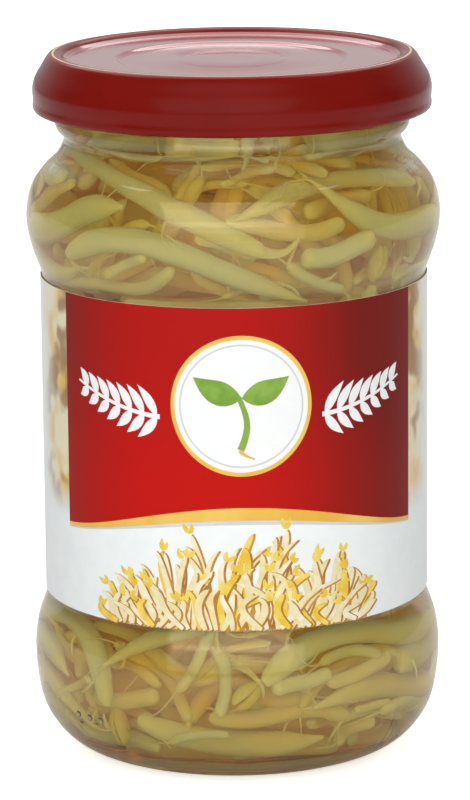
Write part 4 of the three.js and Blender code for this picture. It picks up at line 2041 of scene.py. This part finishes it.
@dataclass
class Lid:
    """The pressed steel lid: curl, wall, ridge, recessed panel and safety step, with four lugs."""

    low: float = 113.5
    top: float = 123.5
    radius: float = 34.8
    ridge: float = 31.2
    panel: float = 122.4
    sheet: float = 0.32
    button: float = 20
    steps: int = 192
    lugs: int = 4
    lug_span: float = 18
    lug_reach: float = 30.9
    dimple: float = 0.28

    def outline(self) -> list[Pair]:
        """The lid's section, up the outside, across the top and back along the inside."""
        outside = rounded(
            [
                (33.5, self.low + 0.02),
                (34.25, self.low + 0.12),
                (34.68, self.low + 0.5),
                (34.8, self.low + 1.1),
                (34.72, self.low + 2.0),
                (34.8, self.low + 3.2),
                (34.78, self.low + 4.4),
                (34.3, self.low + 6.0),
                (33.3, self.low + 7.7),
                (32.35, self.top - 0.75),
                (31.75, self.top - 0.14),
                (self.ridge, self.top),
                (30.4, self.top - 0.02),
                (29.8, self.top - 0.22),
                (29.2, self.top - 0.75),
                (28.7, self.panel),
            ],
            90,
        )
        step = rounded(
            [
                (self.button + 0.9, self.panel),
                (self.button + 0.35, self.panel - 0.03),
                (self.button - 0.2, self.panel - 0.28),
                (self.button - 0.75, self.panel - 0.47),
                (self.button - 1.3, self.panel - 0.5),
            ],
            12,
        )
        across = [(28.2, self.panel), (24.5, self.panel), *map(tuple, step), (10.0, self.panel - 0.5)]
        middle = self.panel - 0.34
        across += [(9.4, self.panel - 0.42), (8.8, middle), (4.0, middle), (0.0, middle)]
        face = [*map(tuple, outside), *across]
        inside = self.inner(face[6:])
        curl = rounded(
            [
                (34.35, self.low + 2.6),
                (33.9, self.low + 1.95),
                (33.2, self.low + 1.75),
                (32.75, self.low + 1.15),
                (32.8, self.low + 0.45),
                (33.5, self.low + 0.02),
            ],
            14,
        )
        above = [(r, z) for r, z in inside if z > self.low + 2.9]
        return [*face, *reversed(above), *map(tuple, curl)]

    def inner(self, face: Sequence[Pair]) -> list[Pair]:
        """The face moved inward by the sheet's thickness."""
        rows = np.array(face)
        moved = rows + beside(rows) * self.sheet
        moved[:, 0] = np.maximum(moved[:, 0], 0)
        moved[-1, 0] = 0
        return [tuple(p) for p in moved]

    def lug(self, angle: float) -> bpy.types.Object:
        """One lug, a fold of the curl pressed inward and rounded off at its ends.

        Args:
            angle: Where its middle stands, in radians.

        Returns:
            The lug.
        """
        steps = 14
        rows = []
        for i in range(steps + 1):
            side = lerp(-1, 1, i / steps)
            turn = angle + side * math.radians(self.lug_span / 2)
            ease = (1 - abs(side) ** 3) ** 0.5 if abs(side) < 1 else 0.0
            reach = lerp(33.0, self.lug_reach, ease)
            section = [
                (33.3, self.low + 0.15),
                (reach + 0.3, self.low + 0.12),
                (reach, self.low + 0.5),
                (reach, self.low + 1.1),
                (reach + 0.3, self.low + 1.4),
                (33.3, self.low + 1.5),
            ]
            rows.append([polar(r, turn, z) for r, z in section])
        return lofted("lug", rows)

    def press_dimples(self, shell: bpy.types.Object) -> None:
        """Presses the wall in a little over each lug, as the forming tool does."""
        corners = corners_of(shell)
        radius = np.hypot(corners[:, 0], corners[:, 1]) / MM
        angle = np.arctan2(corners[:, 1], corners[:, 0])
        height = corners[:, 2] / MM - self.low
        pitch = TURN / self.lugs
        away = np.abs((angle - 0.5 * pitch + pitch / 2) % pitch - pitch / 2)
        span = math.radians(self.lug_span * 0.55)
        press = self.dimple * np.exp(-((away / span) ** 4)) * np.exp(-(((height - 1.0) / 1.3) ** 2))
        scale = np.where(radius > 32.5, (radius - press) / np.maximum(radius, 1), 1.0)
        corners[:, :2] *= scale[:, None]
        move_corners(shell, corners)

    def build(self) -> bpy.types.Object:
        """Models the lid and dresses it, red outside and pale gold inside."""
        shell = turned("lid_body", self.outline(), self.steps)
        self.press_dimples(shell)
        lugs = [self.lug((k + 0.5) * TURN / self.lugs) for k in range(self.lugs)]
        lid = joined("lid_pressed", [*lugs, shell])
        shade(lid, 40)
        inside = LacquerFinish("lid_inside", (0.62, 0.47, 0.2), (0.55, 0.4, 0.15), 0.3, 0.4)
        top = LacquerFinish("lid_top_lacquer", (0.3, 0.03, 0.03), (0.26, 0.025, 0.025), 0.1, 0.4, 0.75)
        # A pale gold line along the ridge's crest.
        edge = LacquerFinish("lid_gold_line", (0.75, 0.5, 0.24), (0.6, 0.33, 0.14), 0.25, 0.6)
        dress(lid, LacquerFinish().material(), inside.material(), top.material(), edge.material())
        for face in lid.data.polygons:
            face.material_index = self.coat_of(face).value
        return settle(lid, Body.LID, Slot.LACQUER, "lid_shell")

    def coat_of(self, face: bpy.types.MeshPolygon) -> Coat:
        """Tells a face's finish from its place and the way it looks.

        Args:
            face: A face of the finished lid.

        Returns:
            The finish.
        """
        spot, normal = face.center, face.normal
        across = math.hypot(spot.x, spot.y)
        inward = spot.x * normal.x + spot.y * normal.y < 0
        under = normal.z < -0.3 and across < 33.4 * MM and spot.z > (self.low + 1.2) * MM
        walled = inward and across > 32 * MM and spot.z < (self.top - 1.2) * MM
        if under or walled:
            return Coat.INSIDE
        if normal.z <= 0 or spot.z <= (self.top - 2) * MM:
            return Coat.OUTSIDE
        if across < (self.ridge - 1.9) * MM:
            return Coat.TOP
        # Faces on the ridge's crest take the pale gold line.
        lined = (self.ridge - 0.22) * MM <= across < (self.ridge + 0.1) * MM
        return Coat.WORN if lined else Coat.OUTSIDE


@dataclass
class SealRing:
    """The ring of sealing compound under the ridge, with the groove that the rim pressed in it."""

    low: float = 121.85
    steps: int = 128

    def build(self) -> bpy.types.Object:
        """Models the ring and dresses it."""
        section = rounded(
            [
                (29.5, self.low),
                (30.0, self.low + 0.06),
                (30.5, self.low + 0.08),
                (31.0, self.low + 0.05),
                (31.3, self.low),
                (31.3, self.low + 0.4),
                (31.05, self.low + 0.78),
                (30.55, self.low + 0.8),
                (29.9, self.low + 0.5),
                (29.5, self.low),
            ],
            36,
        )
        ring = turned("compound_ring", map(tuple, section), self.steps)
        shade(ring, 50)
        dress(ring, CompoundFinish().material())
        return settle(ring, Body.SEAL, Slot.COMPOUND, "seal_ring")


# Studio


@dataclass
class Studio:
    """The camera at the photograph's angle, a pale floor and soft light."""

    distance: float = 0.714
    height: float = 0.2233
    pitch: float = 12.79
    roll: float = -0.55
    focal_pixels: float = 4133
    floor_radius: float = 7.0
    floor_grey: Colour = (0.7, 0.7, 0.7)
    floor_glow: float = 0.55
    sensor: float = 36
    sky_span: Pair = (0.2, 0.96)
    sky_glow: Pair = (0.1, 1.0)
    sky_unseen: float = 0.74

    def camera(self) -> None:
        """Adds the camera."""
        deselect()
        tilt = math.radians(90 - self.pitch)
        bpy.ops.object.camera_add(location=(0, -self.distance, self.height), rotation=(tilt, 0, 0))
        camera = bpy.context.object
        camera.name = "photo_camera"
        camera.data.sensor_width = self.sensor
        camera.data.lens = self.focal_pixels / max(IMAGE_SIZE) * self.sensor
        camera.data.clip_start = 0.01
        camera.data.clip_end = 50
        camera.rotation_mode = "QUATERNION"
        turn = Matrix.Rotation(tilt, 4, "X") @ Matrix.Rotation(math.radians(self.roll), 4, "Z")
        camera.rotation_quaternion = turn.to_quaternion()
        bpy.context.scene.camera = camera

    def floor(self) -> None:
        """Adds the pale floor."""
        deselect()
        bpy.ops.mesh.primitive_circle_add(vertices=96, radius=self.floor_radius, fill_type="NGON")
        floor = bpy.context.object
        floor.name = "studio_floor"
        nodes = Nodes("studio_floor")
        seen = nodes.add("LightPath").outputs["Is Camera Ray"]
        tone = nodes.mix(nodes.noise(3, 2), (0.9, 0.9, 0.9), (0.92, 0.92, 0.92))
        shader = nodes.add(
            "BsdfPrincipled",
            Base_Color=nodes.mix(seen, self.floor_grey, tone),
            Roughness=0.6,
            Specular_IOR_Level=0.1,
            Emission_Color=(1.0, 1.0, 1.0),
            Emission_Strength=nodes.math("MULTIPLY", seen, self.floor_glow),
        )
        dress(floor, nodes.finish(shader.outputs[0]))

    def softbox(
        self, name: str, place: Vector, aim: Vector, size: Pair, glow: float, mirrored: bool = True
    ) -> None:
        """Adds one soft light.

        Args:
            name: Its name.
            place: Where it stands, in metres.
            aim: The place it points at.
            size: Its width and height in metres.
            glow: Its brightness, where 1 is the white of the picture.
            mirrored: Whether shiny surfaces reflect it.
        """
        deselect()
        bpy.ops.object.light_add(type="AREA", location=place)
        lamp = bpy.context.object
        lamp.name = name
        lamp.data.shape = "RECTANGLE"
        lamp.data.size, lamp.data.size_y = size
        lamp.data.energy = glow * math.pi * size[0] * size[1]
        lamp.visible_glossy = mirrored
        lamp.rotation_mode = "QUATERNION"
        lamp.rotation_quaternion = (aim - place).to_track_quat("-Z", "Y")

    def sky(self) -> None:
        """Sets the surroundings: white behind the jar, dim in front, and dimmer to all but the camera."""
        world = bpy.data.worlds.new("studio")
        bpy.context.scene.world = world
        world.use_nodes = True
        tree = world.node_tree
        tree.nodes.clear()
        out = tree.nodes.new("ShaderNodeOutputWorld")
        back = tree.nodes.new("ShaderNodeBackground")
        where = tree.nodes.new("ShaderNodeTexCoord")
        split = tree.nodes.new("ShaderNodeSeparateXYZ")
        ramp = tree.nodes.new("ShaderNodeMapRange")
        ramp.interpolation_type = "SMOOTHSTEP"
        ramp.inputs["From Min"].default_value, ramp.inputs["From Max"].default_value = self.sky_span
        ramp.inputs["To Min"].default_value, ramp.inputs["To Max"].default_value = self.sky_glow
        tree.links.new(where.outputs["Generated"], split.inputs[0])
        path = tree.nodes.new("ShaderNodeLightPath")
        seen = tree.nodes.new("ShaderNodeMapRange")
        seen.inputs["To Min"].default_value = self.sky_unseen
        strength = tree.nodes.new("ShaderNodeMath")
        strength.operation = "MULTIPLY"
        tree.links.new(split.outputs["Y"], ramp.inputs["Value"])
        tree.links.new(path.outputs["Is Camera Ray"], seen.inputs["Value"])
        tree.links.new(ramp.outputs["Result"], strength.inputs[0])
        tree.links.new(seen.outputs["Result"], strength.inputs[1])
        tree.links.new(strength.outputs[0], back.inputs["Strength"])
        tree.links.new(back.outputs[0], out.inputs["Surface"])

    def build(self) -> None:
        """Sets up the whole studio."""
        self.camera()
        self.floor()
        self.sky()
        middle = Vector((0, 0, 0.06))
        self.softbox("top_softbox", Vector((0, 1.3, 1.9)), Vector((0, 0.8, 0)), (2.8, 2.6), 2.6)
        self.softbox("key_softbox", Vector((-0.15, -1.9, 1.35)), middle, (3.3, 1.9), 1.95, False)
        self.softbox("key_sheen", Vector((-0.15, -1.88, 1.33)), middle, (3.3, 1.9), 0.7)
        self.softbox("fill_softbox", Vector((0.0, -2.0, 0.34)), middle, (3.4, 0.6), 2.0, False)
        bpy.context.scene.view_settings.view_transform = "Standard"


def main() -> None:
    """Builds the whole jar and its studio."""
    logging.basicConfig(level=logging.INFO, format="%(name)s %(message)s")
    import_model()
    Studio().build()
    jar = GlassJar()
    jar.build()
    Brine(jar).build()
    Sprouts(jar).build()
    Label().build()
    Lid().build()
    SealRing().build()
    deselect()


if __name__ == "__main__":
    main()
